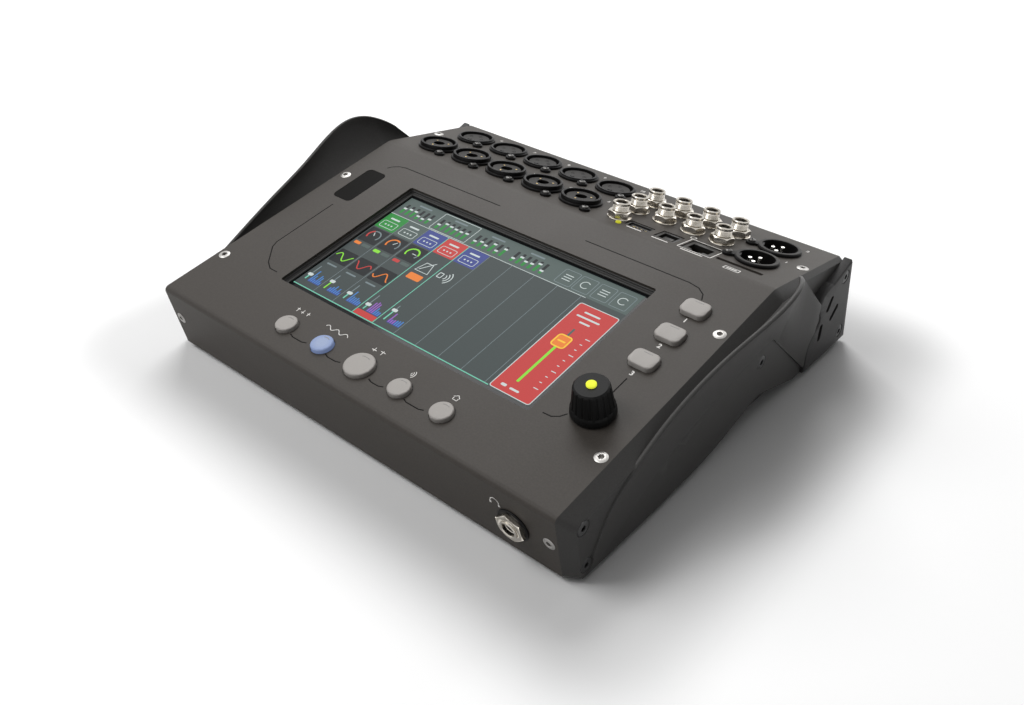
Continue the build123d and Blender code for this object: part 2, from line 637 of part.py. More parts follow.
# ends of the three slots, measured from the rear fold
BRACKET_SLOTS = (((-17.5, -14.9), (-20.0, -19.9)), ((-8.8, -23.5), (-13.2, -28.1)),
                 ((-24.0, -28.5), (-23.8, -35.5)))

with BuildPart() as right_bracket:
    with BuildSketch(SIDE.offset(HALF + REAR_FLAT)):
        with BuildLine():
            edge = from_rear(BRACKET_EDGE)
            Spline(*edge)
            Polyline(edge[-1], REAR_FOOT, REAR_FOLD, edge[0])
        make_face()
    extrude(amount=CHEEK_WALL - REAR_FLAT + BRACKET_PROUD)
    chamfer(right_bracket.faces().sort_by(Axis.X)[-1].edges(), BRACKET_CHAMFER)
    with BuildSketch(SIDE.offset(BRACKET_FACE)):
        for ends in BRACKET_SLOTS:
            (y0, z0), (y1, z1) = from_rear(ends)
            with Locations(((y0 + y1) / 2, (z0 + z1) / 2)):
                SlotCenterToCenter(
                    hypot(y1 - y0, z1 - z0), SLOT_WIDTH, rotation=degrees(atan2(z1 - z0, y1 - y0))
                )
    extrude(amount=-SLOT_DEPTH, mode=Mode.SUBTRACT)
    with Locations(*[SIDE.offset(BRACKET_FACE) * Pos(*p, 0) for p in bracket_screws]):
        CounterSinkHole(BLACK_SHANK + HEAD_GAP, BLACK_HEAD + HEAD_GAP, depth=2 * CHEEK_WALL)
right_bracket.part.label = "right_rear_bracket"
export_step(right_bracket.part, "parts/right_rear_bracket.step")

with BuildPart() as left_bracket:
    mirror(right_bracket.part, about=Plane.YZ)
left_bracket.part.label = "left_rear_bracket"
export_step(left_bracket.part, "parts/left_rear_bracket.step")

# ---------------------------------------------------------------- display
MODULE_TOP = GLASS_DEPTH + GLASS_THICK
MODULE_BACK = MODULE_TOP + MODULE_THICK
GLASS_SIZE = (WINDOW[0] + 2 * GLASS_MARGIN, WINDOW[1] + 2 * GLASS_MARGIN)
DISPLAY = Plane(MAIN * Pos(*WINDOW_CENTRE, 0))


def flat_plate(plane, depth, size, radius, thickness):
    """Round-cornered plate whose top face lies at a depth under the plane."""
    with BuildPart() as plate:
        with BuildSketch(plane.offset(-depth)):
            RectangleRounded(*size, radius)
        extrude(amount=-thickness)
    return plate.part


with BuildPart() as display_gasket:
    with BuildSketch(DISPLAY.offset(-SHEET)):
        RectangleRounded(
            WINDOW[0] + 2 * GASKET_MARGIN, WINDOW[1] + 2 * GASKET_MARGIN, GASKET_MARGIN
        )
        Rectangle(WINDOW[0] - 2 * GASKET_STEP, WINDOW[1] - 2 * GASKET_STEP, mode=Mode.SUBTRACT)
    extrude(amount=-(GLASS_DEPTH - SHEET) / 2)
    with BuildSketch(DISPLAY.offset(-(GLASS_DEPTH + SHEET) / 2)):
        RectangleRounded(
            WINDOW[0] + 2 * GASKET_MARGIN, WINDOW[1] + 2 * GASKET_MARGIN, GASKET_MARGIN
        )
        Rectangle(WINDOW[0] - 2 * GASKET_LIP, WINDOW[1] - 2 * GASKET_LIP, mode=Mode.SUBTRACT)
    extrude(amount=-(GLASS_DEPTH - SHEET) / 2)
display_gasket.part.label = "display_gasket"
export_step(display_gasket.part, "parts/display_gasket.step")

with BuildPart() as display_glass:
    add(flat_plate(DISPLAY, GLASS_DEPTH, GLASS_SIZE, 2.0, GLASS_THICK))
display_glass.part.label = "display_glass"
export_step(display_glass.part, "parts/display_glass.step")

with BuildPart() as display_module:
    add(flat_plate(DISPLAY, MODULE_TOP, GLASS_SIZE, 1.0, MODULE_THICK))
display_module.part.label = "display_module"
export_step(display_module.part, "parts/display_module.step")

CLAMP_LEG = WINDOW[0] / 2 + GASKET_MARGIN + FIT      # leg's inner face, beside the gasket
CLAMP_TIP = WINDOW[0] / 2 - CLAMP_FOOT               # lip's end, under the module
with BuildPart() as display_clamps:
    for along in CLAMP_AT:
        clamp_plane = Plane(
            (DISPLAY * Pos(0, along, 0)).position, x_dir=DISPLAY.x_dir, z_dir=-DISPLAY.y_dir
        )
        with BuildSketch(clamp_plane):
            with BuildLine():
                Polyline(
                    (CLAMP_LEG, -SHEET), (CLAMP_LEG, -MODULE_BACK), (CLAMP_TIP, -MODULE_BACK),
                    (CLAMP_TIP, -MODULE_BACK - CLAMP_SHEET),
                    (CLAMP_LEG + CLAMP_SHEET, -MODULE_BACK - CLAMP_SHEET),
                    (CLAMP_LEG + CLAMP_SHEET, -SHEET - CLAMP_SHEET),
                    (CLAMP_LEG + CLAMP_FOOT, -SHEET - CLAMP_SHEET),
                    (CLAMP_LEG + CLAMP_FOOT, -SHEET), close=True,
                )
            make_face()
            mirror(about=Plane.YZ)
        extrude(amount=CLAMP_WIDTH / 2, both=True)
display_clamps.part.label = "display_clamps"
export_step(display_clamps.part, "parts/display_clamps.step")

# ---------------------------------------------------------------- buttons and keys
FLANGE_TOP = SHEET + FIT
PLUNGER_TOP = BOARD_DEPTH - SWITCH_HEIGHT - PLUNGER_HEIGHT
STEM_END = PLUNGER_TOP - PRESS_TRAVEL - FIT          # stem's lower end


def press_cap(outline, flange, proud):
    """Cap that stands proud of the panel, its hidden flange and the stem over its switch.

    outline and flange are faces drawn round the origin of the panel's plane.
    """
    with BuildPart() as cap:
        with BuildSketch(Plane.XY.offset(-FLANGE_TOP)):
            add(outline)
        extrude(amount=FLANGE_TOP + proud)
        chamfer(cap.faces().sort_by(Axis.Z)[-1].edges(), CAP_CHAMFER)
        with BuildSketch(Plane.XY.offset(-FLANGE_TOP - FLANGE_THICK)):
            add(flange)
        extrude(amount=FLANGE_THICK)
        with BuildSketch(Plane.XY.offset(-STEM_END)):
            Circle(STEM_RADIUS)
        extrude(amount=STEM_END - FLANGE_TOP)
    return cap.part


for number, (place, radius) in enumerate(zip(button_places, BUTTON_RADII), 1):
    round_cap = press_cap(
        Sketch() + Circle(radius), Sketch() + Circle(radius + BUTTON_LIP), BUTTON_PROUD
    )
    with BuildPart() as round_button:
        with Locations(MAIN * Pos(*place, 0)):
            add(round_cap)
    round_button.part.label = f"round_button_{number}"
    export_step(round_button.part, f"parts/round_button_{number}.step")

for number, place in enumerate(key_places, 1):
    key_cap = press_cap(
        Sketch() + RectangleRounded(*KEY_SIZE, KEY_RADIUS),
        Sketch() + RectangleRounded(
            KEY_SIZE[0] + 2 * BUTTON_LIP, KEY_SIZE[1] + 2 * BUTTON_LIP, KEY_RADIUS + BUTTON_LIP
        ),
        KEY_PROUD,
    )
    with BuildPart() as soft_key:
        with Locations(MAIN * Pos(*place, 0)):
            add(key_cap)
    soft_key.part.label = f"soft_key_{number}"
    export_step(soft_key.part, f"parts/soft_key_{number}.step")

press_places = button_places + key_places
with BuildPart() as key_switches:
    with BuildSketch(MAIN.offset(-BOARD_DEPTH)):
        with Locations(*press_places):
            Rectangle(SWITCH_SIZE, SWITCH_SIZE)
    extrude(amount=SWITCH_HEIGHT)
    with BuildSketch(MAIN.offset(-BOARD_DEPTH + SWITCH_HEIGHT)):
        with Locations(*press_places):
            Circle(PLUNGER_RADIUS)
    extrude(amount=PLUNGER_HEIGHT)
key_switches.part.label = "key_switches"
export_step(key_switches.part, "parts/key_switches.step")

# L-shaped board behind the row of buttons and the column of keys
BOARD_EDGE = 10.0            # board beyond the outer switches' middles
BOARD_LEFT = button_places[0][0] - BOARD_EDGE
BOARD_RIGHT = KEY_ACROSS + BOARD_EDGE
COLUMN_LEFT = KEY_ACROSS - BOARD_EDGE
STRIP_FRONT = BUTTON_ALONG - BOARD_EDGE
STRIP_REAR = BUTTON_ALONG + BOARD_EDGE + 1.0
COLUMN_REAR = key_places[0][1] + BOARD_EDGE + 6.0

with BuildPart() as control_board:
    with BuildSketch(MAIN.offset(-BOARD_DEPTH)):
        with BuildLine():
            FilletPolyline(
                (BOARD_LEFT, STRIP_FRONT), (BOARD_RIGHT, STRIP_FRONT), (BOARD_RIGHT, COLUMN_REAR),
                (COLUMN_LEFT, COLUMN_REAR), (COLUMN_LEFT, STRIP_REAR), (BOARD_LEFT, STRIP_REAR),
                radius=1.5, close=True,
            )
        make_face()
    extrude(amount=-BOARD_THICK)
control_board.part.label = "control_board"
export_step(control_board.part, "parts/control_board.step")

# ---------------------------------------------------------------- encoder and knob
ENCODER_FACE = SHEET                                 # body stands against the sheet
KNOB = Plane(MAIN * Pos(*KNOB_AT, 0))

with BuildPart() as encoder_body:
    with BuildSketch(KNOB.offset(-ENCODER_FACE)):
        RectangleRounded(ENCODER_SIZE, ENCODER_SIZE, 0.8)
    extrude(amount=-(BOARD_DEPTH - ENCODER_FACE))
    with BuildSketch(KNOB.offset(-ENCODER_FACE)):
        Circle(BUSH_RADIUS)
    extrude(amount=ENCODER_FACE + BUSH_TOP)
    with BuildSketch(KNOB.offset(BUSH_TOP)):
        Circle(SHAFT_RADIUS + RUNNING)
    extrude(amount=-(BUSH_TOP + ENCODER_FACE + SHAFT_BELOW + FIT), mode=Mode.SUBTRACT)
encoder_body.part.label = "encoder_body"
export_step(encoder_body.part, "parts/encoder_body.step")


def hex_nut(plane, lift, flats, thickness, bore):
    """Chamfer-free hexagon nut standing on a plane."""
    with BuildPart() as nut:
        with BuildSketch(plane.offset(lift)):
            RegularPolygon(flats / 2, 6, major_radius=False)
            Circle(bore, mode=Mode.SUBTRACT)
        extrude(amount=thickness)
    return nut.part


with BuildPart() as encoder_nut:
    add(hex_nut(KNOB, 0.0, NUT_FLATS, NUT_THICK, BUSH_RADIUS + RUNNING))
encoder_nut.part.label = "encoder_nut"
export_step(encoder_nut.part, "parts/encoder_nut.step")

SHAFT_FOOT = ENCODER_FACE + SHAFT_BELOW
FLAT_BASE = BUSH_TOP + SHAFT_ROUND
with BuildPart() as encoder_shaft:
    with BuildSketch(KNOB.offset(-SHAFT_FOOT)):
        Circle(SHAFT_RADIUS)
    extrude(amount=SHAFT_FOOT + FLAT_BASE)
    with BuildSketch(KNOB.offset(FLAT_BASE)):
        Circle(SHAFT_RADIUS)
        with Locations((0, SHAFT_RADIUS)):
            Rectangle(2 * SHAFT_RADIUS, SHAFT_RADIUS, mode=Mode.SUBTRACT)
    extrude(amount=SHAFT_TOP - FLAT_BASE)
encoder_shaft.part.label = "encoder_shaft"
export_step(encoder_shaft.part, "parts/encoder_shaft.step")

with BuildPart() as encoder_knob:
    with BuildSketch(Plane.XZ):
        with BuildLine():
            Polyline(
                (0, KNOB_LIFT),
                (KNOB_SKIRT_RADIUS - SKIRT_DRAFT, KNOB_LIFT),
                (KNOB_SKIRT_RADIUS, KNOB_LIFT + SKIRT_RING),
                (KNOB_SKIRT_RADIUS - SKIRT_DRAFT, KNOB_SKIRT_HEIGHT),
                (KNOB_BODY_RADIUS, KNOB_SKIRT_HEIGHT + SKIRT_NECK),
                (KNOB_TOP_RADIUS, KNOB_HEIGHT - KNOB_CHAMFER),
                (KNOB_TOP_RADIUS - KNOB_CHAMFER, KNOB_HEIGHT),
                (0, KNOB_HEIGHT),
                close=True,
            )
        make_face()
    revolve(axis=Axis.Z)
    flute_tilt = degrees(atan2(KNOB_BODY_RADIUS - KNOB_TOP_RADIUS, KNOB_HEIGHT - KNOB_SKIRT_HEIGHT))
    flute_foot = Location(
        (KNOB_BODY_RADIUS + FLUTE_OUT, 0, KNOB_SKIRT_HEIGHT + SKIRT_RING), (0, -flute_tilt, 0)
    )
    with PolarLocations(0, KNOB_FLUTES):
        with Locations(flute_foot):
            Cylinder(FLUTE_RADIUS, KNOB_HEIGHT, mode=Mode.SUBTRACT,
                     align=(Align.CENTER, Align.CENTER, Align.MIN))
    with BuildSketch(Plane.XY.offset(KNOB_LIFT)):
        Circle(KNOB_CAVITY[0])
    extrude(amount=KNOB_CAVITY[1] - KNOB_LIFT, mode=Mode.SUBTRACT)
    with BuildSketch(Plane.XY.offset(KNOB_LIFT)):
        Circle(SHAFT_RADIUS + RUNNING)
        with Locations((0, SHAFT_RADIUS + RUNNING)):
            Rectangle(3 * SHAFT_RADIUS, SHAFT_RADIUS, mode=Mode.SUBTRACT)
    extrude(amount=SHAFT_TOP + RUNNING - KNOB_LIFT, mode=Mode.SUBTRACT)
    with BuildSketch(Plane.XY.offset(KNOB_HEIGHT)):
        Circle(DOT_RADIUS + RUNNING)
    extrude(amount=-DOT_THICK, mode=Mode.SUBTRACT)
placed_knob = encoder_knob.part.moved(KNOB.location)
placed_knob.label = "encoder_knob"
export_step(placed_knob, "parts/encoder_knob.step")

with BuildPart() as knob_dot:
    with BuildSketch(KNOB.offset(KNOB_HEIGHT - DOT_THICK)):
        Circle(DOT_RADIUS)
    extrude(amount=DOT_THICK + DOT_PROUD)
knob_dot.part.label = "knob_dot"
export_step(knob_dot.part, "parts/knob_dot.step")

# ---------------------------------------------------------------- antenna window
ANTENNA = Plane(MAIN * Pos(*ANTENNA_AT, 0))
with BuildPart() as antenna_window:
    add(flat_plate(ANTENNA, 0.0, ANTENNA_SIZE, ANTENNA_RADIUS, SHEET))
    add(flat_plate(
        ANTENNA, SHEET, (ANTENNA_SIZE[0] + 2 * ANTENNA_LIP, ANTENNA_SIZE[1] + 2 * ANTENNA_LIP),
        ANTENNA_RADIUS, ANTENNA_LIP_THICK,
    ))
antenna_window.part.label = "antenna_window"
export_step(antenna_window.part, "parts/antenna_window.step")

# ---------------------------------------------------------------- round audio sockets


def socket_shell(proud, bore, base_radius, ring_radius, groove, insert, jack_bore, ear_at):
    """Round chassis socket about the origin: base ring, raised ring, body, groove and contacts.

    insert is the radius of the block left standing in the bore, or 0 for an open cup.
    """
    with BuildPart() as shell:
        with BuildSketch():
            Circle(base_radius)
            with Locations(ear_at):
                Circle(EAR_RADIUS)
            make_hull()
        extrude(amount=XLR_BASE_THICK)
        with BuildSketch(Plane.XY.offset(-IO_BOARD_DEPTH)):
            Circle(ring_radius)
        extrude(amount=IO_BOARD_DEPTH + proud)
        with BuildSketch(Plane.XY.offset(proud)):
            Circle(bore)
            if insert:
                Circle(insert, mode=Mode.SUBTRACT)
        extrude(amount=-groove, mode=Mode.SUBTRACT)
        if insert:
            with BuildSketch(Plane.XY.offset(proud)):
                Circle(insert + RUNNING)
            extrude(amount=-INSERT_DROP, mode=Mode.SUBTRACT)
        if jack_bore:
            with BuildSketch(Plane.XY.offset(proud)):
                Circle(jack_bore)
            extrude(amount=BORE_FLOOR - IO_BOARD_DEPTH, mode=Mode.SUBTRACT)
        with Locations(Pos(*ear_at, XLR_BASE_THICK)):
            Hole(EAR_SCREW_SHANK + RUNNING, depth=XLR_BASE_THICK)
    return shell.part


def place_sockets(name, shell, places):
    """One node for each place."""
    for number, place in enumerate(places, 1):
        with BuildPart() as socket:
            with Locations(SOCKETS * Pos(*place, 0)):
                add(shell)
        socket.part.label = f"{name}_{number}"
        export_step(socket.part, f"parts/{name}_{number}.step")


place_sockets(
    "mic_socket",
    socket_shell(MIC_PROUD, XLR_BORE, MIC_BASE_RADIUS, XLR_RADIUS, XLR_GROOVE_DEPTH,
                 XLR_INSERT, 0, EAR_AT),
    mic_places,
)
place_sockets(
    "combo_socket",
    socket_shell(COMBO_PROUD, XLR_BORE, COMBO_BASE_RADIUS, XLR_RADIUS, XLR_GROOVE_DEPTH,
                 XLR_INSERT, JACK_BORE, EAR_AT),
    combo_places,
)
place_sockets(
    "main_output",
    socket_shell(OUT_PROUD, OUT_BORE, OUT_BASE_RADIUS, OUT_RADIUS, XLR_GROOVE_DEPTH, 0, 0,
                 OUT_EAR_AT),
    OUT_AT,
)

with BuildPart() as output_pins:
    pins = [
        moved(place, (PIN_CIRCLE * cos(radians(turn)), PIN_CIRCLE * sin(radians(turn))))
        for place in OUT_AT for turn in PIN_TURNS
    ]
    with Locations(*[SOCKETS.offset(OUT_PROUD - XLR_GROOVE_DEPTH) * Pos(*pin, 0) for pin in pins]):
        Cylinder(PIN_RADIUS, XLR_GROOVE_DEPTH - PIN_TOP, align=(Align.CENTER, Align.CENTER, Align.MIN))
output_pins.part.label = "output_pins"
export_step(output_pins.part, "parts/output_pins.step")

# ---------------------------------------------------------------- quarter-inch jacks

def jack_body(plane, places, top, body_end):
    """Jack sockets: square body under the sheet, bush through it, narrow neck and end ring."""
    with BuildPart() as jacks:
        with BuildSketch(plane.offset(-SHEET)):
            with Locations(*places):
                RectangleRounded(JACK_BODY, JACK_BODY, 0.8)
        extrude(amount=SHEET - body_end)
        with BuildSketch(plane.offset(-SHEET)):
            with Locations(*places):
                Circle(JACK_BUSH)
        extrude(amount=SHEET + top)
        if top > 2 * JACK_NUT_THICK:
            with BuildSketch(plane.offset(JACK_NUT_BASE + JACK_NUT_THICK)):
                with Locations(*places):
                    Circle(JACK_BUSH)
                    Circle(JACK_NECK, mode=Mode.SUBTRACT)
            extrude(amount=top - JACK_RING - JACK_NUT_BASE - JACK_NUT_THICK, mode=Mode.SUBTRACT)
        with BuildSketch(plane.offset(top)):
            with Locations(*places):
                Circle(JACK_BORE)
        extrude(amount=-JACK_BORE_DEPTH, mode=Mode.SUBTRACT)
    return jacks.part


for name, row in zip(("front_line_jack", "middle_line_jacks", "rear_line_jacks"), jack_rows):
    with BuildPart() as line_jacks:
        add(jack_body(SOCKETS, row, JACK_TOP, IO_BOARD_DEPTH))
    line_jacks.part.label = name
    export_step(line_jacks.part, f"parts/{name}.step")

phones_place = (PHONES_AT[0], -PHONES_AT[1])
with BuildPart() as headphone_jack:
    add(jack_body(FRONT, [phones_place], PHONES_TOP, PHONES_DEPTH))
headphone_jack.part.label = "headphone_jack"
export_step(headphone_jack.part, "parts/headphone_jack.step")

with BuildPart() as headphone_bezel:
    with BuildSketch(FRONT):
        with Locations(phones_place):
            Circle(PHONES_BEZEL_RADIUS)
            Circle(JACK_BUSH + RUNNING, mode=Mode.SUBTRACT)
    extrude(amount=PHONES_BEZEL_THICK)
    chamfer(headphone_bezel.edges().filter_by(GeomType.CIRCLE).sort_by(Axis.Y)[0], 0.4)
headphone_bezel.part.label = "headphone_bezel"
export_step(headphone_bezel.part, "parts/headphone_bezel.step")

with BuildPart() as jack_nuts:
    with BuildSketch(SOCKETS):
        with Locations(*jack_places):
            Circle(JACK_WASHER_RADIUS)
            Circle(JACK_BUSH + RUNNING, mode=Mode.SUBTRACT)
    extrude(amount=JACK_NUT_BASE)
    with BuildSketch(SOCKETS.offset(JACK_NUT_BASE)):
        with Locations(*jack_places):
            RegularPolygon(JACK_NUT_FLATS / 2, 6, major_radius=False)
            Circle(JACK_BUSH + RUNNING, mode=Mode.SUBTRACT)
    extrude(amount=JACK_NUT_THICK)
    with BuildSketch(FRONT.offset(PHONES_BEZEL_THICK)):
        with Locations(phones_place):
            RegularPolygon(PHONES_NUT_FLATS / 2, 6, major_radius=False)
            Circle(JACK_BUSH + RUNNING, mode=Mode.SUBTRACT)
    extrude(amount=PHONES_NUT_THICK)
jack_nuts.part.label = "jack_nuts"
export_step(jack_nuts.part, "parts/jack_nuts.step")

# ---------------------------------------------------------------- data sockets and card slot


def data_port(place, size, mouth, mouth_depth, tongue, tongue_at):
    """Metal-shelled socket standing on the board, with its contact tongue in the mouth."""
    with BuildPart() as port:
        with BuildSketch(SOCKETS.offset(-SOCKET_FACE)):
            with Locations(place):
                RectangleRounded(*size, PORT_RADIUS)
        extrude(amount=SOCKET_FACE - IO_BOARD_DEPTH)
        with BuildSketch(SOCKETS.offset(-SOCKET_FACE)):
            with Locations(place):
                Rectangle(*mouth)
            with Locations(moved(place, tongue_at)):
                Rectangle(*tongue, mode=Mode.SUBTRACT)
        extrude(amount=-mouth_depth, mode=Mode.SUBTRACT)
        with BuildSketch(SOCKETS.offset(-SOCKET_FACE)):
            with Locations(moved(place, tongue_at)):
                Rectangle(*tongue)
        extrude(amount=-TONGUE_BELOW, mode=Mode.SUBTRACT)
    return port.part


with BuildPart() as usb_host_port:
    add(data_port(USB_A_AT, USB_A_SIZE, USB_A_MOUTH, USB_A_DEPTH, USB_A_TONGUE, USB_A_TONGUE_AT))
usb_host_port.part.label = "usb_host_port"
export_step(usb_host_port.part, "parts/usb_host_port.step")

with BuildPart() as usb_device_port:
    add(data_port(USB_B_AT, USB_B_SIZE, USB_B_MOUTH, USB_B_DEPTH, USB_B_TONGUE, (0.0, 0.0)))
usb_device_port.part.label = "usb_device_port"
export_step(usb_device_port.part, "parts/usb_device_port.step")

with BuildPart() as network_port:
    with BuildSketch(SOCKETS.offset(-SOCKET_FACE)):
        with Locations(NET_AT):
            RectangleRounded(*NET_SIZE, PORT_RADIUS)
    extrude(amount=SOCKET_FACE - IO_BOARD_DEPTH)
    with BuildSketch(SOCKETS.offset(-SOCKET_FACE)):
        with Locations(NET_AT):
            Rectangle(*NET_MOUTH)
        for width, drop in NET_STEPS:
            with Locations(moved(NET_AT, (0.0, -NET_MOUTH[1] / 2 - drop / 2))):
                Rectangle(width, drop)
    extrude(amount=-NET_DEPTH, mode=Mode.SUBTRACT)
network_port.part.label = "network_port"
export_step(network_port.part, "parts/network_port.step")

with BuildPart() as card_slot:
    with BuildSketch(SOCKETS.offset(-SHEET)):
        with Locations(CARD_AT):
            RectangleRounded(*CARD_SIZE, PORT_RADIUS)
    extrude(amount=SHEET - IO_BOARD_DEPTH)
    with BuildSketch(SOCKETS.offset(-SHEET)):
        with Locations(CARD_AT):
            Rectangle(*CARD_MOUTH)
    extrude(amount=-CARD_DEPTH, mode=Mode.SUBTRACT)
card_slot.part.label = "card_slot"
export_step(card_slot.part, "parts/card_slot.step")

with BuildPart() as status_light:
    with BuildSketch(SOCKETS.offset(LIGHT_PROUD)):
        with Locations(LIGHT_AT):
            Circle(LIGHT_RADIUS)
    extrude(amount=-LIGHT_PROUD - SHEET)
    fillet(status_light.edges().filter_by(GeomType.CIRCLE).sort_by(Axis.Z)[-1], 0.3)
    with BuildSketch(SOCKETS.offset(-SHEET)):
        with Locations(LIGHT_AT):
            Circle(LIGHT_STEM_RADIUS)
    extrude(amount=SHEET - IO_BOARD_DEPTH)
status_light.part.label = "status_light"
export_step(status_light.part, "parts/status_light.step")

# ---------------------------------------------------------------- rear inlet and power switch
inlet_place = (INLET_ACROSS, -REAR_DOWN)
power_place = (POWER_ACROSS, -REAR_DOWN)

with BuildPart() as dc_inlet:
    with BuildSketch(REAR):
        with Locations(inlet_place):
            RectangleRounded(
                INLET_SIZE + 2 * INLET_LIP, INLET_SIZE + 2 * INLET_LIP, INLET_RADIUS + INLET_LIP
            )
    extrude(amount=INLET_LIP)
    with BuildSketch(REAR):
        with Locations(inlet_place):
            RectangleRounded(INLET_SIZE, INLET_SIZE, INLET_RADIUS)
    extrude(amount=-REAR_BODY_DEPTH)
    with BuildSketch(REAR.offset(INLET_LIP)):
        with Locations(inlet_place):
            Circle(INLET_BORE)
            Circle(INLET_PIN, mode=Mode.SUBTRACT)
    extrude(amount=-INLET_BORE_DEPTH, mode=Mode.SUBTRACT)
dc_inlet.part.label = "dc_inlet"
export_step(dc_inlet.part, "parts/dc_inlet.step")

with BuildPart() as power_switch:
    with BuildSketch(REAR):
        with Locations(power_place):
            Circle(POWER_BEZEL + INLET_LIP)
    extrude(amount=INLET_LIP)
    with BuildSketch(REAR):
        with Locations(power_place):
            Circle(POWER_BEZEL)
    extrude(amount=-REAR_BODY_DEPTH)
    with BuildSketch(REAR.offset(INLET_LIP)):
        with Locations(power_place):
            Circle(POWER_RADIUS + FIT)
    extrude(amount=-INLET_LIP - POWER_BUTTON_DEPTH, mode=Mode.SUBTRACT)
power_switch.part.label = "power_switch"
export_step(power_switch.part, "parts/power_switch.step")

with BuildPart() as power_button:
    with BuildSketch(REAR.offset(POWER_PROUD)):
        with Locations(power_place):
            Circle(POWER_RADIUS)
    extrude(amount=-POWER_PROUD - POWER_BUTTON_DEPTH + POWER_TRAVEL + FIT)
    chamfer(power_button.edges().filter_by(GeomType.CIRCLE).sort_by(Axis.Y)[-1], 0.5)
power_button.part.label = "power_button"
export_step(power_button.part, "parts/power_button.step")

# ---------------------------------------------------------------- boards inside
io_board_span = (IO_BOARD_FRONT, IO_LENGTH - IO_BOARD_REAR)
main_board_span = (FOLD_Y + BOARD_FRONT, CREST[0] - BOARD_REAR)

# standoffs stand in the free places between the sockets, the jacks and the switches
socket_gap = (COMBO_ALONG + MIC_ALONG) / 2
mics_end = mic_places[-1][0] + MIC_BASE_RADIUS
jacks_start = JACK_FIRST - JACK_BODY / 2
jacks_end = jack_places[-1][0] + JACK_BODY / 2
outputs_start = OUT_AT[0][0] - OUT_BASE_RADIUS
io_posts = [
    (MIC_FIRST + MIC_PITCH / 2, socket_gap),
    ((mics_end + jacks_start) / 2, socket_gap),
    ((jacks_end + outputs_start) / 2, (OUT_AT[0][1] + OUT_AT[1][1]) / 2),
]
control_posts = [
    (BOARD_LEFT + POST_EDGE, STRIP_REAR - POST_EDGE),
    (BUTTON_MID - 1.5 * BUTTON_PITCH, STRIP_FRONT + POST_EDGE),
    (BUTTON_MID + 0.5 * BUTTON_PITCH, BUTTON_ALONG),
    (KEY_ACROSS, BUTTON_ALONG),
    (KEY_ACROSS, COLUMN_REAR - POST_EDGE),
]
main_posts = [
    (x, y) for x in (BOARD_SIDE + POST_INSET - HALF, 0.0, HALF - BOARD_SIDE - POST_INSET)
    for y in (main_board_span[0] + POST_INSET, main_board_span[1] - POST_INSET)
]

with BuildPart() as io_board:
    with BuildSketch(SOCKETS.offset(-IO_BOARD_DEPTH)):
        with Locations((0, sum(io_board_span) / 2)):
            RectangleRounded(
                PANEL_WIDTH - 2 * IO_BOARD_SIDE, io_board_span[1] - io_board_span[0], BOARD_RADIUS
            )
    extrude(amount=-BOARD_THICK)
io_board.part.label = "io_board"
export_step(io_board.part, "parts/io_board.step")

with BuildPart() as main_board:
    with BuildSketch(Plane.XY.offset(BASE_TOP + STANDOFF_HEIGHT)):
        with Locations((0, sum(main_board_span) / 2)):
            RectangleRounded(
                PANEL_WIDTH - 2 * BOARD_SIDE, main_board_span[1] - main_board_span[0], BOARD_RADIUS
            )
    extrude(amount=BOARD_THICK)
main_board.part.label = "main_board"
export_step(main_board.part, "parts/main_board.step")

with BuildPart() as board_standoffs:
    with BuildSketch(Plane.XY.offset(BASE_TOP)):
        with Locations(*main_posts):
            RegularPolygon(STANDOFF_RADIUS, 6)
    extrude(amount=STANDOFF_HEIGHT)
    with BuildSketch(MAIN.offset(-SHEET)):
        with Locations(*control_posts):
            RegularPolygon(STANDOFF_RADIUS, 6)
    extrude(amount=SHEET - BOARD_DEPTH)
    with BuildSketch(SOCKETS.offset(-SHEET)):
        with Locations(*io_posts):
            RegularPolygon(STANDOFF_RADIUS, 6)
    extrude(amount=SHEET - IO_BOARD_DEPTH)
board_standoffs.part.label = "board_standoffs"
export_step(board_standoffs.part, "parts/board_standoffs.step")

# ---------------------------------------------------------------- screws
HEAD_TAN = tan(radians(HEAD_HALF_ANGLE))


def sunk_screw(head, shank, length, recess):
    """Countersunk screw whose head's face lies at the origin, pointing down -Z."""
    with BuildPart() as screw:
        with BuildSketch(Plane.XZ):
            with BuildLine():
                Polyline(
                    (0, 0), (head, 0), (shank, (shank - head) / HEAD_TAN), (shank, -length),
                    (0, -length), close=True,
                )
            make_face()
        revolve(axis=Axis.Z)
        with BuildSketch():
            RegularPolygon(RECESS_SHARE * head, 6)
        extrude(amount=-recess, mode=Mode.SUBTRACT)
    return screw.part


silver_screw = sunk_screw(SILVER_HEAD, SILVER_SHANK, SILVER_LENGTH, SILVER_RECESS)
with BuildPart() as silver_screws:
    with Locations(*edge_screws):
        add(silver_screw)
silver_screws.part.label = "silver_screws"
export_step(silver_screws.part, "parts/silver_screws.step")

black_screw = sunk_screw(BLACK_HEAD, BLACK_SHANK, BLACK_LENGTH, BLACK_RECESS)
with BuildPart() as black_screws:
    for face, points in ((CHEEK_FACE, cheek_screws), (BRACKET_FACE, bracket_screws)):
        with Locations(*[SIDE.offset(face) * Pos(*p, 0) for p in points]):
            add(black_screw)
    mirror(about=Plane.YZ)
black_screws.part.label = "black_screws"
export_step(black_screws.part, "parts/black_screws.step")

with BuildPart() as connector_screws:
    with Locations(*[spot * Pos(0, 0, XLR_BASE_THICK) for spot in ear_screws]):
        Cylinder(EAR_SCREW_HEAD, EAR_HEAD_THICK, align=(Align.CENTER, Align.CENTER, Align.MIN))
        Cylinder(EAR_SCREW_SHANK, EAR_SCREW_LENGTH, align=(Align.CENTER, Align.CENTER, Align.MAX))
connector_screws.part.label = "connector_screws"
export_step(connector_screws.part, "parts/connector_screws.step")
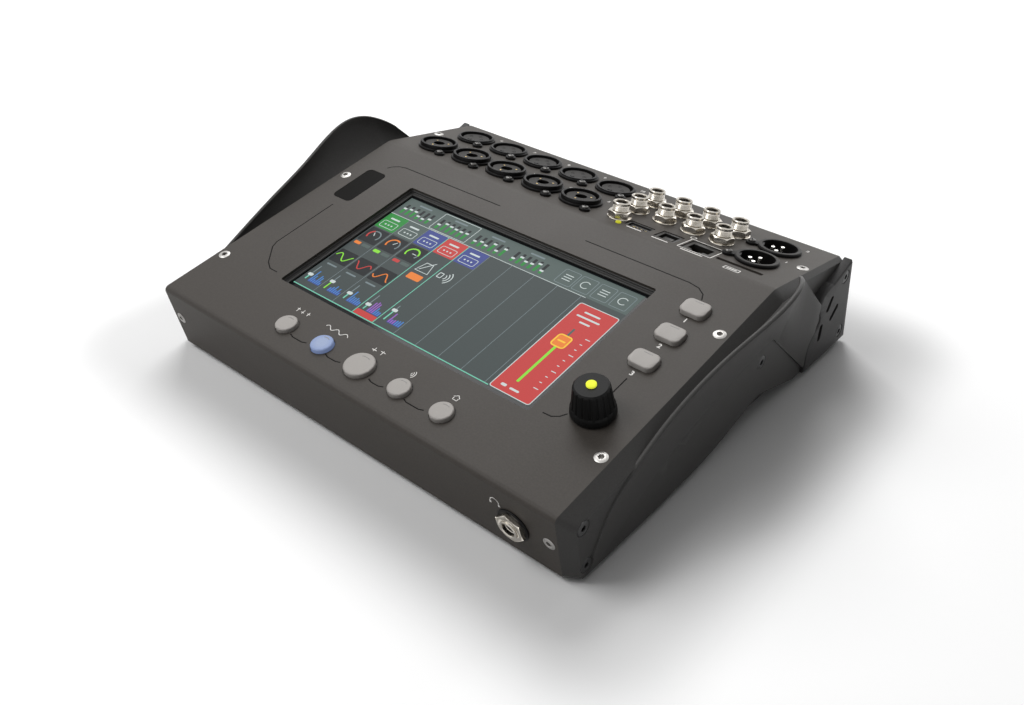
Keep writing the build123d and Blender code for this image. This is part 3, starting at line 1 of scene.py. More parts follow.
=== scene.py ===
"""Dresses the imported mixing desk: finishes, prints, lit screen picture and fine hardware.

Every piece is modelled in metres in the part's own frame: X to the operator's right, Y to the
rear, Z up, with the origin on the table under the four feet. Sizes below are in millimetres,
apart from the places and sizes of the camera, the floor and the lamps, which are in metres.
AXIS is the radius at which a turned profile meets its axis.
"""
from __future__ import annotations

import json
import logging
import math
import random
from collections.abc import Callable, Iterable, Sequence
from dataclasses import dataclass, field
from enum import Enum

import bmesh
import bpy
from mathutils import Euler, Matrix, Vector

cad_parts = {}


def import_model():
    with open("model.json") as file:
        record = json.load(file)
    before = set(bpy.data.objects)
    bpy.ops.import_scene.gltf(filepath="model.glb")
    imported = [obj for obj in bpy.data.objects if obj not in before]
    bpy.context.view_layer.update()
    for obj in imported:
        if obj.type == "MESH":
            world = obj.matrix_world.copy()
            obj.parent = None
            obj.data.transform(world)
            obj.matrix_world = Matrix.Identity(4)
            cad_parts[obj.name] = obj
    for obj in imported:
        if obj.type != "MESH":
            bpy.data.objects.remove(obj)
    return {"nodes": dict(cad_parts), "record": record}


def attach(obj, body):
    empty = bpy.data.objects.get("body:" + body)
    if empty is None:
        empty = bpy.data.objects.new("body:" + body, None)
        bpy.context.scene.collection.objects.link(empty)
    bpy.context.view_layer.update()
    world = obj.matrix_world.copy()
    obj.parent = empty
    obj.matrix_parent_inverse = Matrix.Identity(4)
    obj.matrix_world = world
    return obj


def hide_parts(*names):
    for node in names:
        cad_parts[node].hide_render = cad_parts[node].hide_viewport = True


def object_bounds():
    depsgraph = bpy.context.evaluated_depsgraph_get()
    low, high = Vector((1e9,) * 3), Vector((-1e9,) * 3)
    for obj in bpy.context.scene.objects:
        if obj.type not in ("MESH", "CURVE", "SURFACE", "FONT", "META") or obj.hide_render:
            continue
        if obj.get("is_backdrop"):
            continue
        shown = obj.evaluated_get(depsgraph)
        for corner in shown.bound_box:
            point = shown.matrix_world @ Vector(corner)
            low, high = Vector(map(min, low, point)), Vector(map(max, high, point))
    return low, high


MM = 0.001
log = logging.getLogger("desk")

AXIS = 0.05

Point = tuple[float, float]
Triple = tuple[float, float, float]
Colour = Triple
Obj = bpy.types.Object
Material = bpy.types.Material
Socket = bpy.types.NodeSocket


# --------------------------------------------------------------------------- the desk's faces
@dataclass(frozen=True)
class Panel:
    """One flat face of the desk, placed by a point on it and its outward normal."""

    origin: Triple
    out: Triple
    right: Triple = (1.0, 0.0, 0.0)

    def matrix(self, x: float, along: float, lift: float = 0.0, turn: float = 0.0) -> Matrix:
        """Local frame of a place on the face.

        Args:
            x: Place to the right of the face's origin, in mm.
            along: Place up the face from its origin, in mm.
            lift: Height above the face, in mm.
            turn: Turn about the face's normal, in degrees.

        Returns:
            The matrix that takes local metres at that place to the part's frame.
        """
        out = Vector(self.out)
        right = Vector(self.right)
        up = out.cross(right)
        base = Matrix((right, up, out)).transposed().to_4x4()
        base.translation = (Vector(self.origin) + right * x + up * along + out * lift) * MM
        return base @ Matrix.Rotation(math.radians(turn), 4, "Z")


@dataclass(frozen=True)
class Layout:
    """Driving sizes shared with the part, in mm, and the faces that follow from them."""

    main_length: float = 161.5
    io_length: float = 72.5
    front_length: float = 36.7
    slope: float = 10.0
    lean: float = 11.0
    setback: float = 11.5
    front_reach: float = 0.77
    foot_height: float = 3.0
    cheek_face: float = 132.8
    bracket_face: float = 133.3

    @property
    def run(self) -> Point:
        """Cosine and sine of the panels' slope."""
        return (math.cos(math.radians(self.slope)), math.sin(math.radians(self.slope)))

    @property
    def fold(self) -> Point:
        """The front fold, as y and z."""
        depth = (self.main_length + self.io_length) * self.run[0] + self.setback
        rise = self.front_length * math.cos(math.radians(self.lean))
        return ((self.front_reach - depth) / 2, self.foot_height + rise)

    @property
    def crest(self) -> Point:
        """The soft fold between the control panel and the socket panel."""
        cosine, sine = self.run
        return (self.fold[0] + self.main_length * cosine, self.fold[1] + self.main_length * sine)

    @property
    def rear_fold(self) -> Point:
        """The fold above the rear wall."""
        cosine, sine = self.run
        return (self.crest[0] + self.io_length * cosine, self.crest[1] - self.io_length * sine)

    @property
    def main(self) -> Panel:
        """The control panel, measured up from the front fold."""
        return Panel((0.0, *self.fold), (0.0, -self.run[1], self.run[0]))

    @property
    def sockets(self) -> Panel:
        """The socket panel, measured back from the crest."""
        return Panel((0.0, *self.crest), (0.0, self.run[1], self.run[0]))

    @property
    def front(self) -> Panel:
        """The front wall, measured up from the front fold."""
        tilt = math.radians(self.lean)
        return Panel((0.0, *self.fold), (0.0, -math.cos(tilt), -math.sin(tilt)))

    @property
    def rear(self) -> Panel:
        """The rear wall, measured up from the rear fold and read from behind."""
        tilt = math.atan2(self.setback, self.rear_fold[1] - self.foot_height)
        out = (0.0, math.cos(tilt), math.sin(tilt))
        return Panel((0.0, *self.rear_fold), out, (-1.0, 0.0, 0.0))

    def side(self, face: float) -> Panel:
        """A side face, measured from the front fold; a negative face lies on the left."""
        way = math.copysign(1.0, face)
        return Panel((face, *self.fold), (way, 0.0, 0.0), (0.0, way, 0.0))


LAYOUT = Layout()


# --------------------------------------------------------------------------- modelling steps
def clear_selection() -> None:
    """Leaves edit mode and deselects everything."""
    if bpy.context.object is not None and bpy.context.object.mode != "OBJECT":
        bpy.ops.object.mode_set(mode="OBJECT")
    bpy.ops.object.select_all(action="DESELECT")


def pick(*objects: Obj) -> None:
    """Selects the given objects alone and makes the first one active."""
    clear_selection()
    for obj in objects:
        obj.select_set(True)
    bpy.context.view_layer.objects.active = objects[0]


def new_piece(name: str) -> Obj:
    """Names the object that an operator has just added."""
    obj = bpy.context.object
    obj.name = name
    obj.data.name = name
    return obj


def select_where(obj: Obj, test: Callable[..., bool], kind: str = "faces") -> None:
    """Selects the faces, edges or vertices that pass a test, in edit mode.

    Args:
        obj: The object in edit mode.
        test: Says whether an element is selected.
        kind: "faces", "edges" or "verts".
    """
    bpy.ops.mesh.select_mode(type={"faces": "FACE", "edges": "EDGE", "verts": "VERT"}[kind])
    bpy.ops.mesh.select_all(action="DESELECT")
    mesh = bmesh.from_edit_mesh(obj.data)
    for element in getattr(mesh, kind):
        if test(element):
            element.select_set(True)
    mesh.select_flush_mode()
    bmesh.update_edit_mesh(obj.data)


def apply_modifiers(obj: Obj) -> None:
    """Applies every modifier of an object in order."""
    pick(obj)
    for modifier in list(obj.modifiers):
        bpy.ops.object.modifier_apply(modifier=modifier.name)


def soften(obj: Obj, width: float, segments: int = 2, angle: float = 30.0) -> None:
    """Rounds an object's sharp edges and smooths its shading.

    Args:
        obj: The object.
        width: Width of the rounding, in mm; nought leaves the edges as they are.
        segments: Steps across the rounding.
        angle: Edges sharper than this many degrees are rounded.
    """
    if width > 0:
        bevel = obj.modifiers.new("edge", "BEVEL")
        bevel.width = width * MM
        bevel.segments = segments
        bevel.limit_method = "ANGLE"
        bevel.angle_limit = math.radians(angle)
        apply_modifiers(obj)
    pick(obj)
    bpy.ops.object.shade_smooth_by_angle(angle=math.radians(angle + 8))
    weighted = obj.modifiers.new("flat_faces", "WEIGHTED_NORMAL")
    weighted.keep_sharp = True
    apply_modifiers(obj)


def turned(name: str, profile: Sequence[Point], sides: int = 64) -> Obj:
    """Turns a closed solid about Z from its profile.

    Args:
        name: The new object's name.
        profile: Radius and height of each ring, in mm, from the bottom's rim round to the last
            ring; the first and the last ring are closed with flat faces.
        sides: Number of sides round the axis.

    Returns:
        The solid, at the origin.
    """
    clear_selection()
    radius, height = profile[0]
    bpy.ops.mesh.primitive_circle_add(vertices=sides, radius=radius * MM,
                                      location=(0, 0, height * MM))
    obj = new_piece(name)
    bpy.ops.object.transform_apply(location=True)
    bpy.ops.object.mode_set(mode="EDIT")
    bpy.ops.mesh.select_mode(type="VERT")
    bpy.ops.mesh.select_all(action="SELECT")
    for next_radius, next_height in profile[1:]:
        bpy.ops.mesh.extrude_region_move(
            TRANSFORM_OT_translate={"value": (0, 0, (next_height - height) * MM)}
        )
        ratio = next_radius / radius
        centre = (0, 0, next_height * MM)
        bpy.ops.transform.resize(value=(ratio, ratio, 1.0), center_override=centre)
        radius, height = next_radius, next_height
    bpy.ops.mesh.edge_face_add()
    bpy.ops.mesh.select_all(action="DESELECT")
    bpy.ops.mesh.select_non_manifold()
    bpy.ops.mesh.edge_face_add()
    bpy.ops.mesh.select_all(action="SELECT")
    bpy.ops.mesh.normals_make_consistent(inside=False)
    bpy.ops.object.mode_set(mode="OBJECT")
    return obj


def block(name: str, size: Triple, centre: Triple,
          corner: float = 0.0, segments: int = 4) -> Obj:
    """A block with rounded upright corners.

    Args:
        name: The new object's name.
        size: Width, depth and height, in mm.
        centre: Its middle, in mm.
        corner: Radius of the upright corners, in mm.
        segments: Steps round each corner.

    Returns:
        The block.
    """
    clear_selection()
    bpy.ops.mesh.primitive_cube_add(size=1.0, location=[c * MM for c in centre])
    obj = new_piece(name)
    obj.scale = [s * MM for s in size]
    bpy.ops.object.transform_apply(location=True, scale=True)
    if corner > 0:
        bpy.ops.object.mode_set(mode="EDIT")
        upright = 0.9 * size[2] * MM
        select_where(obj, lambda e: abs(e.verts[0].co.z - e.verts[1].co.z) > upright, "edges")
        bpy.ops.mesh.bevel(offset=corner * MM, segments=segments, affect="EDGES")
        bpy.ops.object.mode_set(mode="OBJECT")
    return obj


def tile(name: str, left: float, bottom: float, width: float, height: float,
         corner: float = 0.0) -> Obj:
    """A flat plate in the XY plane with rounded corners.

    Args:
        name: The new object's name.
        left: Its left edge, in mm.
        bottom: Its lower edge, in mm.
        width: Its width, in mm.
        height: Its height, in mm.
        corner: Radius of its corners, in mm.

    Returns:
        The plate.
    """
    clear_selection()
    centre = ((left + width / 2) * MM, (bottom + height / 2) * MM, 0.0)
    bpy.ops.mesh.primitive_plane_add(size=1.0, location=centre)
    obj = new_piece(name)
    obj.scale = (width * MM, height * MM, 1.0)
    bpy.ops.object.transform_apply(location=True, scale=True)
    if corner > 0:
        bpy.ops.object.mode_set(mode="EDIT")
        bpy.ops.mesh.select_all(action="SELECT")
        bpy.ops.mesh.bevel(offset=corner * MM, segments=4, affect="VERTICES")
        bpy.ops.object.mode_set(mode="OBJECT")
    return obj


def outline(obj: Obj, line: float) -> Obj:
    """Turns a flat plate into a frame.

    Args:
        obj: The plate.
        line: Width of the frame's line, in mm.

    Returns:
        The frame.
    """
    pick(obj)
    bpy.ops.object.mode_set(mode="EDIT")
    bpy.ops.mesh.select_mode(type="FACE")
    bpy.ops.mesh.select_all(action="SELECT")
    bpy.ops.mesh.inset(thickness=line * MM, use_boundary=True)
    bpy.ops.mesh.delete(type="FACE")
    bpy.ops.object.mode_set(mode="OBJECT")
    return obj


def ribbon(name: str, points: Sequence[Point], width: float, thick: float,
           closed: bool = False) -> Obj:
    """A thin flat ribbon with round ends along a path in the XY plane.

    Args:
        name: The new object's name.
        points: The path, in mm.
        width: The ribbon's width, in mm.
        thick: Its thickness, in mm.
        closed: Whether the path's ends join.

    Returns:
        The ribbon as a mesh.
    """
    clear_selection()
    bpy.ops.curve.primitive_nurbs_path_add()
    obj = new_piece(name)
    curve = obj.data
    curve.splines.clear()
    spline = curve.splines.new("POLY")
    spline.points.add(len(points) - 1)
    for target, (x, y) in zip(spline.points, points):
        target.co = (x * MM, y * MM, 0.0, 1.0)
    spline.use_cyclic_u = closed
    curve.bevel_depth = width / 2 * MM
    curve.bevel_resolution = 1
    curve.use_fill_caps = True
    bpy.ops.object.convert(target="MESH")
    obj = new_piece(name)
    obj.data.transform(Matrix.Diagonal((1.0, 1.0, thick / width, 1.0)))
    return obj


def arc(centre: Point, radius: float, start: float, end: float, steps: int = 12) -> list[Point]:
    """Points along an arc, from one angle in degrees to another."""
    turns = [math.radians(start + (end - start) * i / steps) for i in range(steps + 1)]
    return [(centre[0] + radius * math.cos(t), centre[1] + radius * math.sin(t)) for t in turns]


def numeral(name: str, text: str, height: float, thick: float) -> Obj:
    """A printed figure, centred on the origin, as a thin mesh in slightly bold ink.

    Args:
        name: The new object's name.
        text: The figure.
        height: Its height, in mm.
        thick: The ink's thickness, in mm.

    Returns:
        The figure as a mesh.
    """
    clear_selection()
    bpy.ops.object.text_add()
    obj = new_piece(name)
    letter = obj.data
    letter.body = text
    letter.align_x = "CENTER"
    letter.align_y = "CENTER"
    figure_share, bold = 0.7, 0.03
    letter.size = height * MM / figure_share
    letter.extrude = thick / 2 * MM
    letter.offset = bold * height * MM
    letter.resolution_u = 3
    bpy.ops.object.convert(target="MESH")
    return new_piece(name)


def joined(name: str, parts: Sequence[Obj]) -> Obj:
    """Joins objects into one named piece."""
    pick(*parts)
    if len(parts) > 1:
        bpy.ops.object.join()
    return new_piece(name)


def moved(obj: Obj, matrix: Matrix) -> Obj:
    """Puts a place into an object's mesh."""
    obj.data.transform(matrix)
    obj.data.update()
    return obj


def at(x: float, y: float, z: float = 0.0, turn: float = 0.0) -> Matrix:
    """A place in a piece's own frame, in mm, with a turn about Z in degrees."""
    spin = Matrix.Rotation(math.radians(turn), 4, "Z")
    return Matrix.Translation((x * MM, y * MM, z * MM)) @ spin


def copy_at(source: Obj, name: str, matrix: Matrix) -> Obj:
    """Copies an object with its own mesh and puts the place into that mesh.

    Args:
        source: The object that is copied.
        name: The copy's name.
        matrix: Where the copy goes.

    Returns:
        The copy.
    """
    copy = source.copy()
    copy.data = source.data.copy()
    copy.parent = None
    copy.name = name
    copy.data.name = name
    bpy.context.scene.collection.objects.link(copy)
    return moved(copy, matrix)


def drop(*objects: Obj) -> None:
    """Removes patterns and tools that have done their work."""
    for obj in objects:
        mesh = obj.data
        bpy.data.objects.remove(obj)
        bpy.data.meshes.remove(mesh)


def cut(obj: Obj, tool: Obj, operation: str = "DIFFERENCE") -> Obj:
    """Shapes one closed solid by another and removes the tool.

    Args:
        obj: The solid that is kept.
        tool: The solid that shapes it.
        operation: "DIFFERENCE", "INTERSECT" or "UNION".

    Returns:
        The shaped solid.
    """
    modifier = obj.modifiers.new("cut", "BOOLEAN")
    modifier.operation = operation
    modifier.solver = "EXACT"
    modifier.object = tool
    apply_modifiers(obj)
    drop(tool)
    return obj


# --------------------------------------------------------------------------- finishes
class Nodes:
    """A small hand for wiring one material's nodes."""

    def __init__(self, name: str) -> None:
        """Starts a material with a Principled shader wired to its output."""
        self.material = bpy.data.materials.new(name)
        self.material.use_nodes = True
        self.tree = self.material.node_tree
        self.shader = self.tree.nodes["Principled BSDF"]
        self.place = self.add("ShaderNodeTexCoord")

    def add(self, kind: str, **values: object) -> bpy.types.Node:
        """Adds a node and sets its properties and input sockets.

        Args:
            kind: The node's type.
            **values: Properties by name; a name that starts with in_ sets an input socket.

        Returns:
            The node.
        """
        node = self.tree.nodes.new(kind)
        for key, value in values.items():
            if key.startswith("in_"):
                node.inputs[key[3:].replace("_", " ")].default_value = value
            else:
                setattr(node, key, value)
        return node

    def link(self, start: Socket, end: Socket) -> None:
        """Joins two sockets."""
        self.tree.links.new(start, end)

    def noise(self, scale: float, detail: float = 3.0, roughness: float = 0.55,
              stretch: Triple = (1.0, 1.0, 1.0)) -> Socket:
        """Noise over the object's own coordinates.

        Args:
            scale: Grains per metre.
            detail: Octaves.
            roughness: Share of the fine octaves.
            stretch: Scale along each axis.

        Returns:
            The noise value's socket.
        """
        mapping = self.add("ShaderNodeMapping")
        mapping.inputs["Scale"].default_value = stretch
        self.link(self.place.outputs["Object"], mapping.inputs["Vector"])
        noise = self.add("ShaderNodeTexNoise", in_Scale=scale, in_Detail=detail,
                         in_Roughness=roughness)
        self.link(mapping.outputs["Vector"], noise.inputs["Vector"])
        return noise.outputs["Fac"]

    def ramp(self, value: Socket, stops: Sequence[tuple[float, Colour]]) -> Socket:
        """Turns a value into a colour.

        Args:
            value: The value's socket.
            stops: Positions and colours.

        Returns:
            The colour's socket.
        """
        ramp = self.add("ShaderNodeValToRGB")
        ramp.color_ramp.elements[0].position = stops[0][0]
        ramp.color_ramp.elements[0].color = (*stops[0][1], 1.0)
        ramp.color_ramp.elements[1].position = stops[-1][0]
        ramp.color_ramp.elements[1].color = (*stops[-1][1], 1.0)
        for position, colour in stops[1:-1]:
            element = ramp.color_ramp.elements.new(position)
            element.color = (*colour, 1.0)
        self.link(value, ramp.inputs["Fac"])
        return ramp.outputs["Color"]

    def spread(self, value: Socket, low: float, high: float) -> Socket:
        """Maps a nought-to-one value onto a range."""
        node = self.add("ShaderNodeMapRange", in_To_Min=low, in_To_Max=high)
        self.link(value, node.inputs["Value"])
        return node.outputs["Result"]

    def bump(self, height: Socket, strength: float, distance: float,
             under: Socket | None = None) -> Socket:
        """Bump from a height, over another bump where given.

        Args:
            height: The height's socket.
            strength: The bump's strength.
            distance: The bump's depth, in mm.
            under: Another bump's normal.

        Returns:
            The normal's socket.
        """
        node = self.add("ShaderNodeBump", in_Strength=strength, in_Distance=distance * MM)
        self.link(height, node.inputs["Height"])
        if under is not None:
            self.link(under, node.inputs["Normal"])
        return node.outputs["Normal"]


def shade(colour: Colour, factor: float) -> Colour:
    """A colour made lighter or darker."""
    return tuple(min(1.0, channel * factor) for channel in colour)


def srgb(red: int, green: int, blue: int) -> Colour:
    """A screen colour as linear light."""
    def linear(value: int) -> float:
        part = value / 255
        return part / 12.92 if part <= 0.04045 else ((part + 0.055) / 1.055) ** 2.4
    return (linear(red), linear(green), linear(blue))


@dataclass(frozen=True)
class GrainedFinish:
    """A fine-grained opaque surface: powder coat, spark-eroded moulding, rubber or ink."""

    name: str
    colour: Colour
    roughness: float = 0.5
    grain: float = 1500.0
    depth: float = 0.05
    strength: float = 0.35
    speckle: float = 0.12
    mottle: float = 0.08
    specular: float = 0.5
    patches: float = 22.0
    smoother: float = 0.05
    rougher: float = 0.06

    def build(self) -> Material:
        """Wires the finish."""
        nodes = Nodes(self.name)
        fine = nodes.noise(self.grain, 2.0, 0.6)
        broad = nodes.noise(self.patches, 4.0, 0.6)
        mixed = nodes.add("ShaderNodeMix", data_type="RGBA", blend_type="MULTIPLY")
        mixed.inputs["Factor"].default_value = 1.0
        speckled = nodes.ramp(fine, [(0.3, shade(self.colour, 1 - self.speckle)),
                                     (0.7, shade(self.colour, 1 + self.speckle))])
        mottled = nodes.ramp(broad, [(0.3, (1 - self.mottle,) * 3), (0.7, (1.0, 1.0, 1.0))])
        nodes.link(speckled, mixed.inputs["A"])
        nodes.link(mottled, mixed.inputs["B"])
        nodes.link(mixed.outputs["Result"], nodes.shader.inputs["Base Color"])
        roughness = nodes.spread(broad, self.roughness - self.smoother,
                                 self.roughness + self.rougher)
        nodes.link(roughness, nodes.shader.inputs["Roughness"])
        nodes.link(nodes.bump(fine, self.strength, self.depth), nodes.shader.inputs["Normal"])
        nodes.shader.inputs["Specular IOR Level"].default_value = self.specular
        return nodes.material


@dataclass(frozen=True)
class MetalFinish:
    """A plated or bare metal with fine drawn scratches and slight tarnish."""

    name: str
    colour: Colour
    roughness: float = 0.25
    tarnish: Colour = (0.35, 0.33, 0.3)
    scratch: float = 900.0
    strength: float = 0.12
    drawn: Triple = (1.0, 1.0, 0.12)
    cloud: float = 160.0
    dulled: float = 0.12
    polished: float = 0.06
    scratch_depth: float = 0.02

    def build(self) -> Material:
        """Wires the finish."""
        nodes = Nodes(self.name)
        lines = nodes.noise(self.scratch, 3.0, 0.6, self.drawn)
        cloud = nodes.noise(self.cloud, 4.0, 0.6)
        colour = nodes.ramp(cloud, [(0.32, self.tarnish), (0.5, self.colour),
                                    (0.75, shade(self.colour, 1.08))])
        nodes.link(colour, nodes.shader.inputs["Base Color"])
        nodes.shader.inputs["Metallic"].default_value = 1.0
        roughness = nodes.spread(cloud, self.roughness + self.dulled,
                                 self.roughness - self.polished)
        nodes.link(roughness, nodes.shader.inputs["Roughness"])
        nodes.link(nodes.bump(lines, self.strength, self.scratch_depth),
                   nodes.shader.inputs["Normal"])
        return nodes.material


@dataclass(frozen=True)
class LitFinish:
    """A surface that gives light: a lit cap, an indicator or an ink of the screen's picture.

    The centre is a place in the part's frame, and the reach is the distance over which the colour
    turns into the rim's; both are in metres.
    """

    name: str
    colour: Colour
    glow: float = 1.0
    body: Colour = (0.02, 0.02, 0.02)
    roughness: float = 0.4
    specular: float = 0.04
    centre: Triple | None = None
    reach: float = 0.0075
    rim: Colour = (0.0, 0.0, 0.0)
    core: float = 0.7
    grain: float = 2600.0
    body_grain: float = 1500.0

    def build(self) -> Material:
        """Wires the finish, with the light fading from its centre where one is set."""
        nodes = Nodes(self.name)
        nodes.shader.inputs["Roughness"].default_value = self.roughness
        nodes.shader.inputs["Specular IOR Level"].default_value = self.specular
        if self.centre is None:
            grain = nodes.noise(self.grain, 1.0, 0.5)
            tint = nodes.ramp(grain, [(0.35, shade(self.colour, 0.93)), (0.65, self.colour)])
        else:
            mapping = nodes.add("ShaderNodeMapping")
            mapping.inputs["Location"].default_value = tuple(-c / self.reach for c in self.centre)
            mapping.inputs["Scale"].default_value = (1 / self.reach,) * 3
            nodes.link(nodes.place.outputs["Object"], mapping.inputs["Vector"])
            ball = nodes.add("ShaderNodeTexGradient", gradient_type="SPHERICAL")
            nodes.link(mapping.outputs["Vector"], ball.inputs["Vector"])
            tint = nodes.ramp(ball.outputs["Fac"], [(0.0, self.rim), (self.core, self.colour)])
        nodes.link(tint, nodes.shader.inputs["Emission Color"])
        nodes.shader.inputs["Emission Strength"].default_value = self.glow
        body = nodes.ramp(nodes.noise(self.body_grain, 2.0),
                          [(0.3, shade(self.body, 0.9)), (0.7, self.body)])
        nodes.link(body, nodes.shader.inputs["Base Color"])
        return nodes.material


@dataclass(frozen=True)
class GlassFinish:
    """The screen's dark cover glass, with faint smears."""

    name: str
    colour: Colour = (0.006, 0.007, 0.008)
    specular: float = 0.12
    smears: float = 35.0
    wiped: Triple = (1.0, 2.5, 1.0)
    clean: float = 0.06
    smeared: float = 0.14

    def build(self) -> Material:
        """Wires the finish."""
        nodes = Nodes(self.name)
        smear = nodes.noise(self.smears, 5.0, 0.65, self.wiped)
        nodes.link(nodes.ramp(smear, [(0.3, self.colour), (0.7, shade(self.colour, 1.5))]),
                   nodes.shader.inputs["Base Color"])
        nodes.link(nodes.spread(smear, self.clean, self.smeared), nodes.shader.inputs["Roughness"])
        nodes.shader.inputs["Specular IOR Level"].default_value = self.specular
        return nodes.material


@dataclass(frozen=True)
class BoardFinish:
    """A circuit board with faint copper tracks under its solder mask."""

    name: str
    colour: Colour = (0.01, 0.09, 0.035)
    tracks: float = 260.0
    track_width: float = 0.035
    roughness: float = 0.35

    def build(self) -> Material:
        """Wires the finish."""
        nodes = Nodes(self.name)
        tracks = nodes.add("ShaderNodeTexBrick", in_Scale=self.tracks,
                           in_Mortar_Size=self.track_width)
        tracks.inputs["Color1"].default_value = (*self.colour, 1.0)
        tracks.inputs["Color2"].default_value = (*shade(self.colour, 0.8), 1.0)
        tracks.inputs["Mortar"].default_value = (*shade(self.colour, 2.2), 1.0)
        nodes.link(nodes.place.outputs["Object"], tracks.inputs["Vector"])
        nodes.link(tracks.outputs["Color"], nodes.shader.inputs["Base Color"])
        nodes.link(nodes.bump(tracks.outputs["Fac"], 0.2, 0.05), nodes.shader.inputs["Normal"])
        nodes.shader.inputs["Roughness"].default_value = self.roughness
        return nodes.material


class Palette(Enum):
    """Finishes by name."""

    @property
    def material(self) -> Material:
        """The finish's material, built once."""
        found = bpy.data.materials.get(self.value.name)
        return found if found is not None else self.value.build()


class Finish(Palette):
    """The desk's finishes.

    The numbers of a grained finish are its roughness, its grains per metre, their depth in mm and
    the strength of their bump. A metal's are its roughness and its tarnish. A lit finish's are its
    glow, the colour of its unlit body and its roughness.
    """

    PANEL_COAT = GrainedFinish("panel_coat", srgb(60, 56, 52), 0.52, 1100.0, 0.06, 0.4,
                               speckle=0.10, mottle=0.05, specular=0.2)
    TRAY_COAT = GrainedFinish("tray_coat", srgb(42, 41, 41), 0.5, 1100.0, 0.06, 0.4, specular=0.2)
    CHEEK_MOULDING = GrainedFinish("cheek_moulding", srgb(61, 60, 59), 0.48, 1600.0, 0.05, 0.35,
                                   speckle=0.10, mottle=0.05, specular=0.2)
    BRACKET_COAT = GrainedFinish("bracket_coat", srgb(52, 51, 51), 0.5, 1100.0, 0.06, 0.4,
                                 specular=0.2)
    FOOT_RUBBER = GrainedFinish("grained_foot_rubber", srgb(26, 26, 26), 0.85, 700.0, 0.1, 0.4)
    GASKET_RUBBER = GrainedFinish("soft_gasket_rubber", srgb(24, 23, 22), 0.6, 1500.0, 0.05, 0.3)
    CAP_GREY = GrainedFinish("cap_grey", srgb(163, 159, 155), 0.45, 2400.0, 0.02, 0.25,
                             speckle=0.04, mottle=0.04, specular=0.2)
    KNOB_RUBBER = GrainedFinish("knob_rubber", srgb(13, 13, 13), 0.5, 2600.0, 0.03, 0.25,
                                speckle=0.1, mottle=0.1, specular=0.12)
    SOCKET_MOULDING = GrainedFinish("socket_moulding", srgb(16, 15, 15), 0.38, 1800.0, 0.02, 0.2,
                                    speckle=0.1, mottle=0.1, specular=0.12)
    # The same black plastic as the moulding, painted lighter: a painted sheen on the faces that
    # catch the lamps.
    SOCKET_FACE = GrainedFinish("socket_face", srgb(34, 32, 30), 0.5, 1500.0, 0.03, 0.3,
                                speckle=0.12, mottle=0.1, specular=0.16)
    ANTENNA_PLASTIC = GrainedFinish("antenna_cover_plastic", srgb(17, 16, 15), 0.6, 1500.0, 0.04,
                                    0.3, specular=0.04)
    SWITCH_PLASTIC = GrainedFinish("smooth_switch_plastic", srgb(30, 30, 30), 0.4, 1500.0, 0.03,
                                   0.2)
    SLOT_GREY = GrainedFinish("slot_grey", srgb(132, 130, 128), 0.35, 2400.0, 0.01, 0.15)
    PORT_BLACK = GrainedFinish("port_black", srgb(24, 23, 22), 0.35, 1800.0, 0.02, 0.2,
                               speckle=0.1, mottle=0.1)
    WHITE_INK = GrainedFinish("white_ink", srgb(228, 226, 222), 0.5, 2500.0, 0.01, 0.15,
                              speckle=0.05, mottle=0.03)
    BLACK_INK = GrainedFinish("black_ink", srgb(14, 12, 11), 0.55, 2500.0, 0.01, 0.15,
                              speckle=0.08, mottle=0.05, specular=0.06)
    BLACK_OXIDE = GrainedFinish("black_oxide", srgb(30, 30, 30), 0.4, 1800.0, 0.02, 0.2)
    DOT_GLOW = LitFinish("dot_glow", srgb(222, 226, 70), 0.75, srgb(180, 190, 40), 0.35)
    LIGHT_GLOW = LitFinish("light_glow", srgb(196, 190, 50), 0.8, srgb(120, 130, 30), 0.2)
    SILVER_PIN = MetalFinish("silvered_pin", (0.9, 0.88, 0.84), 0.22, (0.75, 0.72, 0.66))
    CONTACT_GOLD = MetalFinish("gilt_contact", (0.83, 0.62, 0.28), 0.25, (0.6, 0.42, 0.18))
    NICKEL = MetalFinish("nickel", (0.52, 0.49, 0.44), 0.2, (0.36, 0.335, 0.29))
    DARK_SCREW = MetalFinish("dark_screw", (0.08, 0.078, 0.075), 0.28, (0.04, 0.038, 0.036))
    SATIN_SCREW = MetalFinish("satin_screw", (0.38, 0.37, 0.355), 0.36, (0.28, 0.27, 0.26))
    ZINC = MetalFinish("zinc", (0.78, 0.78, 0.77), 0.32, (0.55, 0.55, 0.54))
    STANDOFF_BRASS = MetalFinish("turned_brass", (0.75, 0.57, 0.28), 0.3, (0.5, 0.36, 0.16))
    MODULE_METAL = MetalFinish("pressed_module_metal", (0.5, 0.5, 0.5), 0.45)
    COVER_GLASS = GlassFinish("cover_glass")
    BOARD = BoardFinish("board")


def dress(obj: Obj, finish: Palette | Material) -> Obj:
    """Gives an object one finish all over."""
    material = finish.material if isinstance(finish, Palette) else finish
    obj.data.materials.clear()
    obj.data.materials.append(material)
    return obj


def paint_where(obj: Obj, finish: Finish,
                test: Callable[[bmesh.types.BMFace], bool]) -> None:
    """Gives the faces that pass a test a finish of their own.

    Args:
        obj: The object, dressed already.
        finish: The finish of those faces.
        test: Says whether a face gets it.
    """
    pick(obj)
    obj.data.materials.append(finish.material)
    bpy.ops.object.mode_set(mode="EDIT")
    select_where(obj, test)
    obj.active_material_index = len(obj.data.materials) - 1
    bpy.ops.object.material_slot_assign()
    bpy.ops.object.mode_set(mode="OBJECT")


